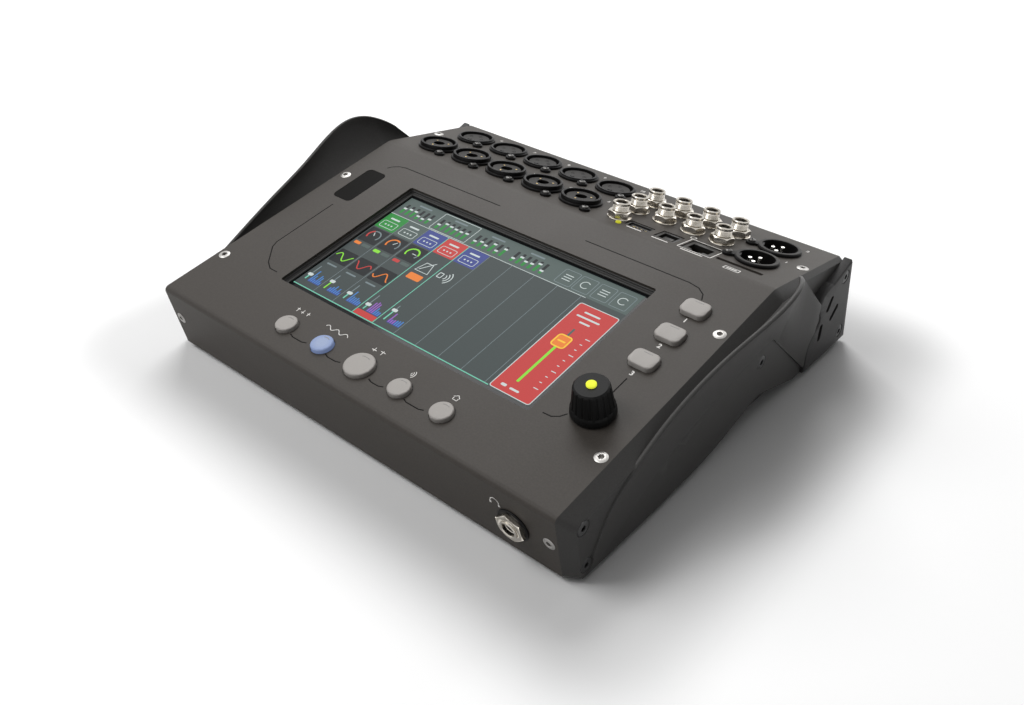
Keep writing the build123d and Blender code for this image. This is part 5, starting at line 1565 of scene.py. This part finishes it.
# --------------------------------------------------------------------------- printed marks
@dataclass
class PanelPrint:
    """Fine black guide lines, white figures and small white symbols on the painted steel."""

    line: float = 0.65
    thick: float = 0.04
    mark: float = 0.42
    figure: float = 2.7
    small_figure: float = 2.1
    half_bar: float = 1.6
    bar: float = 0.7
    border: float = 0.5
    sag: float = 0.9
    hook: float = 2.5
    left_path: Sequence[Point] = ((-85.5, 41.0), (-91.0, 41.0), (-96.0, 44.0), (-104.6, 54.0),
                                  (-106.0, 58.0), (-106.0, 98.0))
    top_path: Sequence[Point] = ((-105.6, 139.4), (-104.2, 141.6), (-100.4, 144.2), (-96.0, 145.2),
                                 (-25.9, 145.2))
    right_path: Sequence[Point] = ((30.5, 145.0), (91.2, 145.0), (97.0, 143.9), (101.0, 141.0),
                                   (102.7, 137.2))
    knob_path: Sequence[Point] = ((96.2, 46.4), (94.4, 43.4), (91.4, 41.4), (87.1, 41.2))
    button_links: Sequence[Point] = ((-42.6, -31.2), (-18.0, -7.8), (10.7, 20.0), (32.6, 44.8))
    link_along: float = 12.6
    key_figures: Sequence[float] = (121.4, 101.2, 80.6)
    key_across: float = 104.2

    def black_lines(self) -> list[Obj]:
        """The border line round the screen and the short links between the controls."""
        paths = [self.left_path, self.top_path, self.right_path, self.knob_path,
                 [(self.key_across, 77.0), (self.key_across, 66.5)]]
        for start, end in self.button_links:
            paths.append([(start, self.link_along + self.sag), (start + self.hook, self.link_along),
                          (end - self.hook, self.link_along), (end, self.link_along + self.sag)])
        face = LAYOUT.main.matrix(0, 0)
        return [moved(ribbon("line", path, self.line, self.thick), face) for path in paths]

    def stroke(self, points: Sequence[Point], place: Matrix, closed: bool = False) -> Obj:
        """One white stroke of a symbol."""
        return moved(ribbon("stroke", points, self.mark, self.thick, closed), place)

    def button_symbols(self) -> list[Obj]:
        """Small symbols behind the round buttons: sliders, a wave, a fader, ripples and a roof."""
        strokes = []
        sliders = LAYOUT.main.matrix(-49.6, 27.6)
        for x, y in ((-3.6, 0.5), (0.0, -0.5), (3.6, 0.2)):
            strokes.append(self.stroke([(x, -1.3), (x, 1.3)], sliders))
            strokes.append(self.stroke([(x - 0.9, y), (x + 0.9, y)], sliders))
        wave = LAYOUT.main.matrix(-25.0, 27.2)
        ripples = [(0.8 * i - 7.6, 1.1 * math.sin(0.85 * i)) for i in range(20)]
        strokes.append(self.stroke(ripples, wave))
        fader = LAYOUT.main.matrix(1.6, 28.6)
        for x, y in ((-2.4, -0.4), (2.4, 0.6)):
            strokes.append(self.stroke([(x, -1.3), (x, 1.3)], fader))
            strokes.append(self.stroke([(x - 1.4, y), (x + 1.4, y)], fader))
        ripple = LAYOUT.main.matrix(25.6, 26.6)
        strokes += [self.stroke(arc((-1.6, 0.0), r, -50, 50, 6), ripple) for r in (0.7, 1.7, 2.7)]
        roof = LAYOUT.main.matrix(51.4, 27.0)
        strokes.append(self.stroke([(-1.7, 0.0), (0.0, 1.5), (1.7, 0.0)], roof))
        strokes.append(self.stroke([(-1.2, -0.2), (-1.2, -1.5), (1.2, -1.5), (1.2, -0.2)], roof))
        return strokes

    def socket_marks(self) -> list[Obj]:
        """Channel figures by the sockets, frames round the data sockets and small rings."""
        marks = []
        for number in range(5):
            x = -102.9 + 26.13 * number
            for along, first in ((17.7, 1), (50.6, 6)):
                figure = numeral("figure", str(first + number), self.small_figure, self.thick)
                marks.append(moved(figure, LAYOUT.sockets.matrix(x + 9.8, along + 12.6)))
        for number, along in enumerate((25.9, 50.3)):
            figure = numeral("figure", str(number + 1), self.small_figure, self.thick)
            marks.append(moved(figure, LAYOUT.sockets.matrix(113.4, along + 11.2)))
        for number in range(4):
            for along in (41.2, 58.2):
                ends = [(-self.half_bar, 0.0), (self.half_bar, 0.0)]
                bar = ribbon("bar", ends, self.bar, self.thick)
                marks.append(moved(bar, LAYOUT.sockets.matrix(28.5 + 17.0 * number, along)))
        return marks + self.data_frames()

    def data_frames(self) -> list[Obj]:
        """White frames and bars round the data sockets."""
        face = LAYOUT.sockets.matrix(0, 0, self.thick)
        frames = [
            moved(outline(tile("frame", 68.6, 7.0, 19.2, 15.4, 0.6), self.border), face),
            moved(outline(tile("frame", 97.0, 2.2, 8.6, 3.6, 0.5), self.border), face),
            moved(tile("bar", 98.4, 3.5, 5.8, 1.0, 0.3), face),
            moved(tile("bar", 38.2, 7.2, 9.0, 0.9, 0.3), face),
            moved(tile("bar", 71.8, 4.9, 12.4, 0.9, 0.3), face),
            moved(tile("bar", 54.2, 6.0, 9.6, 0.9, 0.3), face),
        ]
        ring = ribbon("ring", arc((0.0, 0.0), 1.5, 0, 345, 20), 0.6, self.thick, True)
        return frames + [moved(ring, LAYOUT.sockets.matrix(68.2, 24.4))]

    def phones_symbol(self) -> list[Obj]:
        """A head band with two ear pads, left of the headphone jack."""
        place = LAYOUT.front.matrix(94.2, -12.0)
        strokes = [self.stroke(arc((0.0, 0.0), 2.3, 0, 180), place)]
        for way in (-1, 1):
            pad = ribbon("pad", [(way * 2.3, -0.3), (way * 2.3, -1.7)], 1.0, self.thick)
            strokes.append(moved(pad, place))
        return strokes

    def key_numbers(self) -> list[Obj]:
        """Figures 1 to 3 below the keys."""
        return [
            moved(numeral("figure", str(number), self.figure, self.thick),
                  LAYOUT.main.matrix(self.key_across, along))
            for number, along in enumerate(self.key_figures, 1)
        ]

    def build(self, desk: PackedDesk) -> None:
        """Prints the lines, figures and symbols."""
        black = dress(joined("black_print", self.black_lines()), Finish.BLACK_INK)
        desk.hand_over(black, "desk", "chassis_paint")
        marks = (self.key_numbers() + self.button_symbols() + self.socket_marks()
                 + self.phones_symbol())
        white = dress(joined("white_print", marks), Finish.WHITE_INK)
        desk.hand_over(white, "desk", "chassis_paint")


# --------------------------------------------------------------------------- sockets
@dataclass
class LineJacks:
    """Quarter-inch jacks: round-edged washer, chamfered nut, threaded neck and end ring."""

    first: float = 28.5
    pitch: float = 17.0
    rows: Sequence[tuple[float, int]] = ((15.5, 1), (32.5, 4), (49.5, 4))
    washer: float = 6.6
    flats: float = 11.0
    nut_base: float = 0.8
    nut_thick: float = 3.0
    bush: float = 4.5
    neck: float = 4.1
    bore: float = 3.25
    ring: float = 1.6
    top: float = 8.5
    thread: float = 0.55
    phones_at: Point = (103.0, -20.0)
    phones_flats: float = 13.0
    phones_thick: float = 2.0
    phones_base: float = 1.0
    phones_top: float = 3.8
    overrun: float = 1.0
    turn_step: float = 9.0
    row_turn: float = 0.7

    def nut(self, flats: float, base: float, thick: float) -> Obj:
        """A chamfered hexagon nut on a bush.

        The hexagon and the bore run past the lens that chamfers them, because solids that share
        a plane aren't cut the same way every time.

        Args:
            flats: Distance across its flats, in mm.
            base: Height of its underside, in mm.
            thick: Its thickness, in mm.

        Returns:
            The nut.
        """
        corner = flats / 2 / math.cos(math.radians(30))
        low, high = base - self.overrun, base + thick + self.overrun
        prism = turned("nut", [(corner, low), (corner, high)], 6)
        lens = turned("lens", [
            (0.985 * flats / 2, base), (1.02 * corner, base + 0.22 * thick),
            (1.02 * corner, base + 0.72 * thick), (0.96 * flats / 2, base + thick),
        ], 72)
        cut(prism, lens, "INTERSECT")
        cut(prism, turned("bore", [(self.bush + 0.05, low), (self.bush + 0.05, high)], 48))
        soften(prism, 0.12, 2, 25)
        return dress(prism, Finish.NICKEL)

    def washer_ring(self) -> Obj:
        """The flat washer with a rounded edge."""
        high = self.nut_base
        disc = turned("washer", [
            (self.washer - 0.15, 0.0), (self.washer, 0.25 * high), (self.washer - 0.1, 0.8 * high),
            (self.washer - 0.5, high), (self.bush + 0.3, high), (self.bush + 0.05, high - 0.1),
            (self.bush + 0.05, 0.01),
        ], 60)
        soften(disc, 0.0)
        return dress(disc, Finish.NICKEL)

    def barrel(self, neck_base: float, top: float) -> Obj:
        """The bush with its thread, end ring and dark bore.

        Args:
            neck_base: Height where the threaded neck starts, in mm.
            top: Height of the bush's end, in mm.

        Returns:
            The barrel.
        """
        profile = [(self.bush, -9.0), (self.bush, neck_base)]
        height = neck_base + 0.1
        while height + self.thread < top - self.ring:
            profile += [(self.neck, height), (self.neck + 0.22, height + self.thread / 2)]
            height += self.thread
        profile += [
            (self.neck, top - self.ring), (self.bush, top - self.ring + 0.2),
            (self.bush, top - 0.35),
            (self.bush - 0.3, top), (self.bore + 0.35, top), (self.bore, top - 0.35),
            (self.bore, top - 2.0), (self.bore - 0.25, top - 2.2), (self.bore - 0.25, -6.5),
            (AXIS, -8.5),
        ]
        barrel = turned("barrel", profile, 48)
        soften(barrel, 0.0, angle=22)
        dress(barrel, Finish.NICKEL)
        inner = (self.bore - 0.1) * MM
        paint_where(barrel, Finish.SOCKET_MOULDING,
                    lambda f: max(v.co.xy.length for v in f.verts) < inner)
        return barrel

    def places(self) -> list[Matrix]:
        """Places of the nine jacks on the socket panel."""
        return [
            LAYOUT.sockets.matrix(self.first + self.pitch * number, along,
                                  turn=self.turn_step * number + self.row_turn * along)
            for along, count in self.rows for number in range(count)
        ]

    def build(self, desk: PackedDesk) -> None:
        """Builds the jacks on the socket panel and the headphone jack on the front wall."""
        places = self.places()
        parts = [self.washer_ring(), self.nut(self.flats, self.nut_base, self.nut_thick)]
        desk.place_copies(joined("jack_nut", parts), "jack_nut", places, "desk", "nut_chrome",
                          ["jack_nuts"])
        barrel = self.barrel(self.nut_base + self.nut_thick, self.top)
        desk.place_copies(barrel, "jack_barrel", places, "desk", "nut_chrome",
                          ["front_line_jack", "middle_line_jacks", "rear_line_jacks"])
        spot = [LAYOUT.front.matrix(*self.phones_at, turn=12.0)]
        nut = self.nut(self.phones_flats, self.phones_base, self.phones_thick)
        desk.place_copies(nut, "phones_nut", spot, "desk", "nut_chrome")
        barrel = self.barrel(self.phones_base + self.phones_thick, self.phones_top)
        desk.place_copies(barrel, "phones_barrel", spot, "desk", "nut_chrome", ["headphone_jack"])
        desk.refined("headphone_bezel", Finish.SOCKET_MOULDING, "socket_plastic", 0.15)


@dataclass
class RoundSockets:
    """Microphone, combination and output sockets with their contacts and ear screws."""

    first: float = -102.9
    pitch: float = 26.13
    mic_along: float = 50.6
    combo_along: float = 17.7
    mic_proud: float = 2.2
    combo_proud: float = 3.6
    insert_drop: float = 1.2
    insert: float = 8.0
    moat: float = 6.0
    bore: float = 9.5
    can: float = 10.9
    mic_flange: float = 11.6
    combo_flange: float = 11.9
    jack_bore: float = 3.25
    slot_circle: float = 5.0
    contact_circle: float = 4.1
    ear: float = 3.0
    ear_at: Point = (10.2, -10.4)
    out_ear_at: Point = (-13.2, -5.0)
    out_at: Sequence[Point] = ((103.0, 25.9), (103.0, 50.3))
    out_proud: float = 1.8
    out_flange: float = 11.1
    out_bore: float = 8.9
    cup_depth: float = 14.0
    pin_top: float = 1.0
    pin_circle: float = 3.7
    pin_radius: float = 1.2
    ear_base: float = 1.4
    sleeve_bore: float = 0.9
    level_slack: float = 0.3

    def housing(self, proud: float, flange: float, bore: float, ear_at: Point,
                inner: Sequence[Point], faced: Callable[[bmesh.types.BMFace], bool]) -> Obj:
        """A socket's housing: flange with a round ear, raised ring and what lies inside it.

        Args:
            proud: Height of the ring over the panel, in mm.
            flange: Radius of the flange, in mm.
            bore: Radius inside the ring, in mm.
            ear_at: Where the ear's screw stands, in mm.
            inner: Radius and height of each step inside the ring, in mm.
            faced: Says which faces get the lighter finish, a painted sheen on the black plastic.

        Returns:
            The housing.
        """
        thick, can = self.ear_base, self.can
        body = turned("housing", [
            (can, -16.0), (can, 0.0), (flange, 0.0), (flange, thick - 0.3), (flange - 0.3, thick),
            (can, thick), (can, proud - 0.5), (can - 0.15, proud - 0.15), (can - 0.5, proud),
            (bore + 0.4, proud), (bore + 0.1, proud - 0.1), (bore, proud - 0.4), *inner,
        ], 72)
        reach = math.hypot(*ear_at)
        turn = math.degrees(math.atan2(ear_at[1], ear_at[0]))
        ear = turned("ear", [(self.ear, 0.01), (self.ear, thick - 0.3),
                             (self.ear - 0.3, thick)], 40)
        neck = block("neck", (2.2 * self.ear, 1.5 * self.ear, thick - 0.12),
                     (0.0, 0.0, thick / 2 - 0.05))
        cut(body, moved(ear, at(*ear_at)), "UNION")
        cut(body, moved(neck, at(0.0, 0.0, 0.0, turn) @ at(reach - self.ear, 0.0)), "UNION")
        soften(body, 0.0, angle=32)
        dress(body, Finish.SOCKET_MOULDING)
        # The faces that the test picks are painted lighter: a painted sheen.
        paint_where(body, Finish.SOCKET_FACE, faced)
        return body

    def level(self, height: float, inside: float) -> Callable[[bmesh.types.BMFace], bool]:
        """A test for upward faces at a height, inside a radius, both in mm."""
        return lambda f: (f.normal.z > 0.9 and max(v.co.xy.length for v in f.verts) < inside * MM
                          and all(abs(v.co.z / MM - height) < self.level_slack for v in f.verts))

    def insert_rings(self, face: float) -> list[Point]:
        """Rings of the dark moat and of the insert that stands in it up to a face, in mm."""
        low = face - self.moat
        return [(self.bore, low), (self.insert, low), (self.insert, face - 0.15),
                (self.insert - 0.15, face)]

    def contact(self) -> Obj:
        """One gold contact sleeve in a dark recess, about the origin."""
        sleeve = turned("contact", [
            (1.35, -0.3), (1.35, 0.06), (1.2, 0.12), (1.0, 0.12), (self.sleeve_bore, 0.0),
            (self.sleeve_bore, -3.0), (AXIS, -3.1),
        ], 24)
        soften(sleeve, 0.0)
        dress(sleeve, Finish.SOCKET_MOULDING)
        inner = (self.sleeve_bore + 0.06) * MM
        paint_where(sleeve, Finish.CONTACT_GOLD,
                    lambda f: max(v.co.xy.length for v in f.verts) < inner)
        return sleeve

    def mic_socket(self) -> Obj:
        """A microphone socket: a face with painted sheen, three contacts and a key inside a dark
        moat.
        """
        face = self.mic_proud - self.insert_drop
        circle = self.contact_circle
        parts = [self.housing(self.mic_proud, self.mic_flange, self.bore, self.ear_at,
                              [*self.insert_rings(face), (AXIS, face)],
                              self.level(face, self.insert + 0.1))]
        for spot in ((-circle, 0.0), (circle, 0.0), (0.0, circle)):
            parts.append(moved(self.contact(), at(*spot, face)))
        key = block("key", (2.4, 1.5, 0.6), (0.0, -6.2, 0.25), 0.4)
        soften(key, 0.12)
        dress(key, Finish.SOCKET_MOULDING)
        parts.append(moved(key, at(0.0, 0.0, face)))
        return joined("mic_socket", parts)

    def combo_socket(self) -> Obj:
        """A combination socket: a face with painted sheen, a black bore and three contact slots
        round it.
        """
        face = self.combo_proud - self.insert_drop
        parts = [self.housing(self.combo_proud, self.combo_flange, self.bore, self.ear_at, [
            *self.insert_rings(face), (self.jack_bore, face), (self.jack_bore, -12.0),
            (AXIS, -12.0),
        ], self.level(face, self.insert + 0.1))]
        for turn in (35, 145, 270):
            spot = arc((0.0, 0.0), self.slot_circle, turn, turn, 1)[0]
            place = at(*spot, face, turn - 90)
            slot = block("slot", (2.1, 3.2, 0.4), (0.0, 0.0, -0.14), 0.9)
            soften(slot, 0.05, 1)
            leaf = block("leaf", (0.9, 0.9, 0.16), (0.0, 0.4, 0.06), 0.2)
            soften(leaf, 0.04, 1)
            parts += [moved(dress(slot, Finish.SOCKET_MOULDING), place),
                      moved(dress(leaf, Finish.CONTACT_GOLD), place)]
        return joined("combo_socket", parts)

    def output_socket(self) -> Obj:
        """A main output: a ring with painted sheen on its top, round a deep black cup."""
        floor = self.out_proud - self.cup_depth
        return self.housing(self.out_proud, self.out_flange, self.out_bore, self.out_ear_at,
                            [(self.out_bore, floor), (AXIS, floor)],
                            self.level(self.out_proud, self.can))

    def ear_screw(self) -> Obj:
        """The small domed screw in a socket's ear, with a cross recess."""
        rings = [(1.9, 0.0), (1.9, 0.5), (1.75, 0.8), (1.3, 1.0), (AXIS, 1.1)]
        head = turned("ear_screw", rings, 36)
        for size in ((2.2, 0.42, 1.0), (0.42, 2.2, 1.0)):
            cut(head, block("recess", size, (0.0, 0.0, 1.1)))
        soften(head, 0.05, 1, 25)
        return dress(head, Finish.DARK_SCREW)

    def pins(self) -> Obj:
        """Three round-nosed pins standing in an output's cup."""
        pin = turned("pin", [
            (self.pin_radius, -12.0), (self.pin_radius, -0.5 - self.pin_top),
            (0.8 * self.pin_radius, -0.15 - self.pin_top), (0.35 * self.pin_radius, -self.pin_top),
            (AXIS, -self.pin_top + 0.02),
        ], 28)
        soften(pin, 0.0)
        dress(pin, Finish.SILVER_PIN)
        spots = [arc((0.0, 0.0), self.pin_circle, turn, turn, 1)[0] for turn in (90, 180, 270)]
        copies = [copy_at(pin, "pin", at(*spot)) for spot in spots]
        drop(pin)
        return joined("pins", copies)

    def row(self, along: float) -> list[Matrix]:
        """Places of a row of five sockets."""
        return [LAYOUT.sockets.matrix(self.first + self.pitch * n, along) for n in range(5)]

    def build(self, desk: PackedDesk) -> None:
        """Finishes the housings and sets their faces, pins and screws."""
        outputs = [LAYOUT.sockets.matrix(*spot) for spot in self.out_at]
        for pattern, name, places in (
            (self.mic_socket(), "mic_socket", self.row(self.mic_along)),
            (self.combo_socket(), "combo_socket", self.row(self.combo_along)),
            (self.output_socket(), "main_output", outputs),
        ):
            desk.place_copies(pattern, f"{name}_housing", places, "desk", "socket_plastic",
                              desk.named(name))
        lifted = [place @ at(0.0, 0.0, self.out_proud) for place in outputs]
        desk.place_copies(self.pins(), "pins", lifted, "desk", "pin_metal", ["output_pins"])
        across, up = self.ear_at
        ears = [LAYOUT.sockets.matrix(self.first + self.pitch * n + across, along + up,
                                      self.ear_base, 31.0 * n)
                for n in range(5) for along in (self.mic_along, self.combo_along)]
        across, up = self.out_ear_at
        ears += [LAYOUT.sockets.matrix(x + across, along + up, self.ear_base, 20.0)
                 for x, along in self.out_at]
        desk.place_copies(self.ear_screw(), "ear_screw", ears, "desk", "black_steel",
                          ["connector_screws"])


@dataclass
class DataSockets:
    """Data sockets with gold contacts, the card slot, the status light and the antenna window.

    Each place is the middle of a socket's row of contacts, or of the light.
    """

    face: float = -0.4
    host_at: Point = (42.7, 13.8)
    device_at: Point = (59.8, 13.1)
    network_at: Point = (78.2, 16.8)
    network_depth: float = -5.0
    light_at: Point = (33.0, 8.0)
    light_proud: float = 0.8

    def contacts(self, count: int, pitch: float, size: Point, place: Point, depth: float) -> Obj:
        """A row of flat gold contacts.

        Args:
            count: Number of contacts.
            pitch: Distance between them, in mm.
            size: Width and length of each, in mm.
            place: Middle of the row on the socket panel, in mm.
            depth: Height of their faces over the panel, in mm.

        Returns:
            The row.
        """
        first = -pitch * (count - 1) / 2
        strips = [block("contact", (*size, 0.3), (first + pitch * n, 0.0, -0.1), 0.1)
                  for n in range(count)]
        row = joined("contacts", strips)
        soften(row, 0.04, 1)
        dress(row, Finish.CONTACT_GOLD)
        return moved(row, LAYOUT.sockets.matrix(*place, depth))

    def build(self, desk: PackedDesk) -> None:
        """Finishes the sockets and lays their contacts."""
        for name in ("usb_host_port", "usb_device_port", "network_port", "card_slot"):
            desk.refined(name, Finish.PORT_BLACK, "port_steel", 0.12, 1)
        for name, count, pitch, size, (x, along), depth in (
            ("host_contacts", 4, 2.4, (1.2, 0.5), self.host_at, self.face - 1.0),
            ("device_contacts", 2, 2.6, (1.0, 0.5), self.device_at, self.face - 1.0),
            ("network_contacts", 8, 1.02, (0.35, 2.6), self.network_at, self.network_depth),
        ):
            row = self.contacts(count, pitch, size, (x, along), depth)
            row.name = name
            desk.hand_over(row, "desk", "pin_metal")
        lens = turned("status_lens", [
            (1.5, -1.0), (1.5, 0.45), (1.35, 0.7), (0.9, self.light_proud),
            (AXIS, self.light_proud + 0.08),
        ], 32)
        soften(lens, 0.0)
        dress(lens, Finish.LIGHT_GLOW)
        moved(lens, LAYOUT.sockets.matrix(*self.light_at))
        desk.hand_over(lens, "desk", "light_lens", "status_light")
        desk.refined("antenna_window", Finish.ANTENNA_PLASTIC, "antenna_plastic", 0.2)


@dataclass
class RearWall:
    """Supply inlet and power button."""

    power_at: Point = (70.0, -26.0)
    power_radius: float = 4.5
    power_proud: float = 3.0
    button_depth: float = 4.3

    def button(self) -> Obj:
        """The power button: a dished cap with a printed ring-and-bar symbol."""
        radius, proud = self.power_radius, self.power_proud
        cap = turned("power_cap", [
            (radius, -self.button_depth), (radius, proud - 0.6), (radius - 0.2, proud - 0.15),
            (radius - 0.6, proud), (0.7 * radius, proud - 0.1), (0.4 * radius, proud - 0.3),
            (AXIS, proud - 0.35),
        ], 48)
        soften(cap, 0.0)
        dress(cap, Finish.SWITCH_PLASTIC)
        ring = ribbon("power_ring", arc((0.0, 0.0), 1.5, 120, 420, 16), 0.4, 0.1)
        bar = ribbon("power_bar", [(0.0, 0.4), (0.0, 2.0)], 0.4, 0.1)
        symbol = moved(joined("power_symbol", [ring, bar]), at(0.0, 0.0, proud - 0.2))
        dress(symbol, Finish.WHITE_INK)
        return moved(joined("power_cap", [cap, symbol]), LAYOUT.rear.matrix(*self.power_at))

    def build(self, desk: PackedDesk) -> None:
        """Finishes the rear wall's fittings."""
        desk.refined("dc_inlet", Finish.SOCKET_MOULDING, "socket_plastic", 0.2)
        desk.refined("power_switch", Finish.SOCKET_MOULDING, "socket_plastic", 0.2)
        desk.hand_over(self.button(), desk.body_of["power_button"], "part_plastic", "power_button")


@dataclass
class Inside:
    """Boards, switches and standoffs, seen only through the vents and slots."""

    boards: Sequence[str] = ("control_board", "main_board", "io_board")

    def build(self, desk: PackedDesk) -> None:
        """Dresses the hidden nodes."""
        desk.dress(Finish.BOARD, *self.boards)
        desk.dress(Finish.STANDOFF_BRASS, "board_standoffs")
        desk.dress(Finish.SWITCH_PLASTIC, "key_switches")


def main() -> None:
    """Builds the studio and the desk's finished pieces."""
    logging.basicConfig(level=logging.INFO, format="%(name)s: %(message)s")
    desk = PackedDesk.load()
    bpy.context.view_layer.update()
    Studio().build()
    assemblies = (Casing(), SunkScrews(), ButtonCaps(), Encoder(), Display(), PanelPrint(),
                  LineJacks(), RoundSockets(), DataSockets(), RearWall(), Inside())
    for assembly in assemblies:
        assembly.build(desk)


if __name__ == "__main__":
    main()
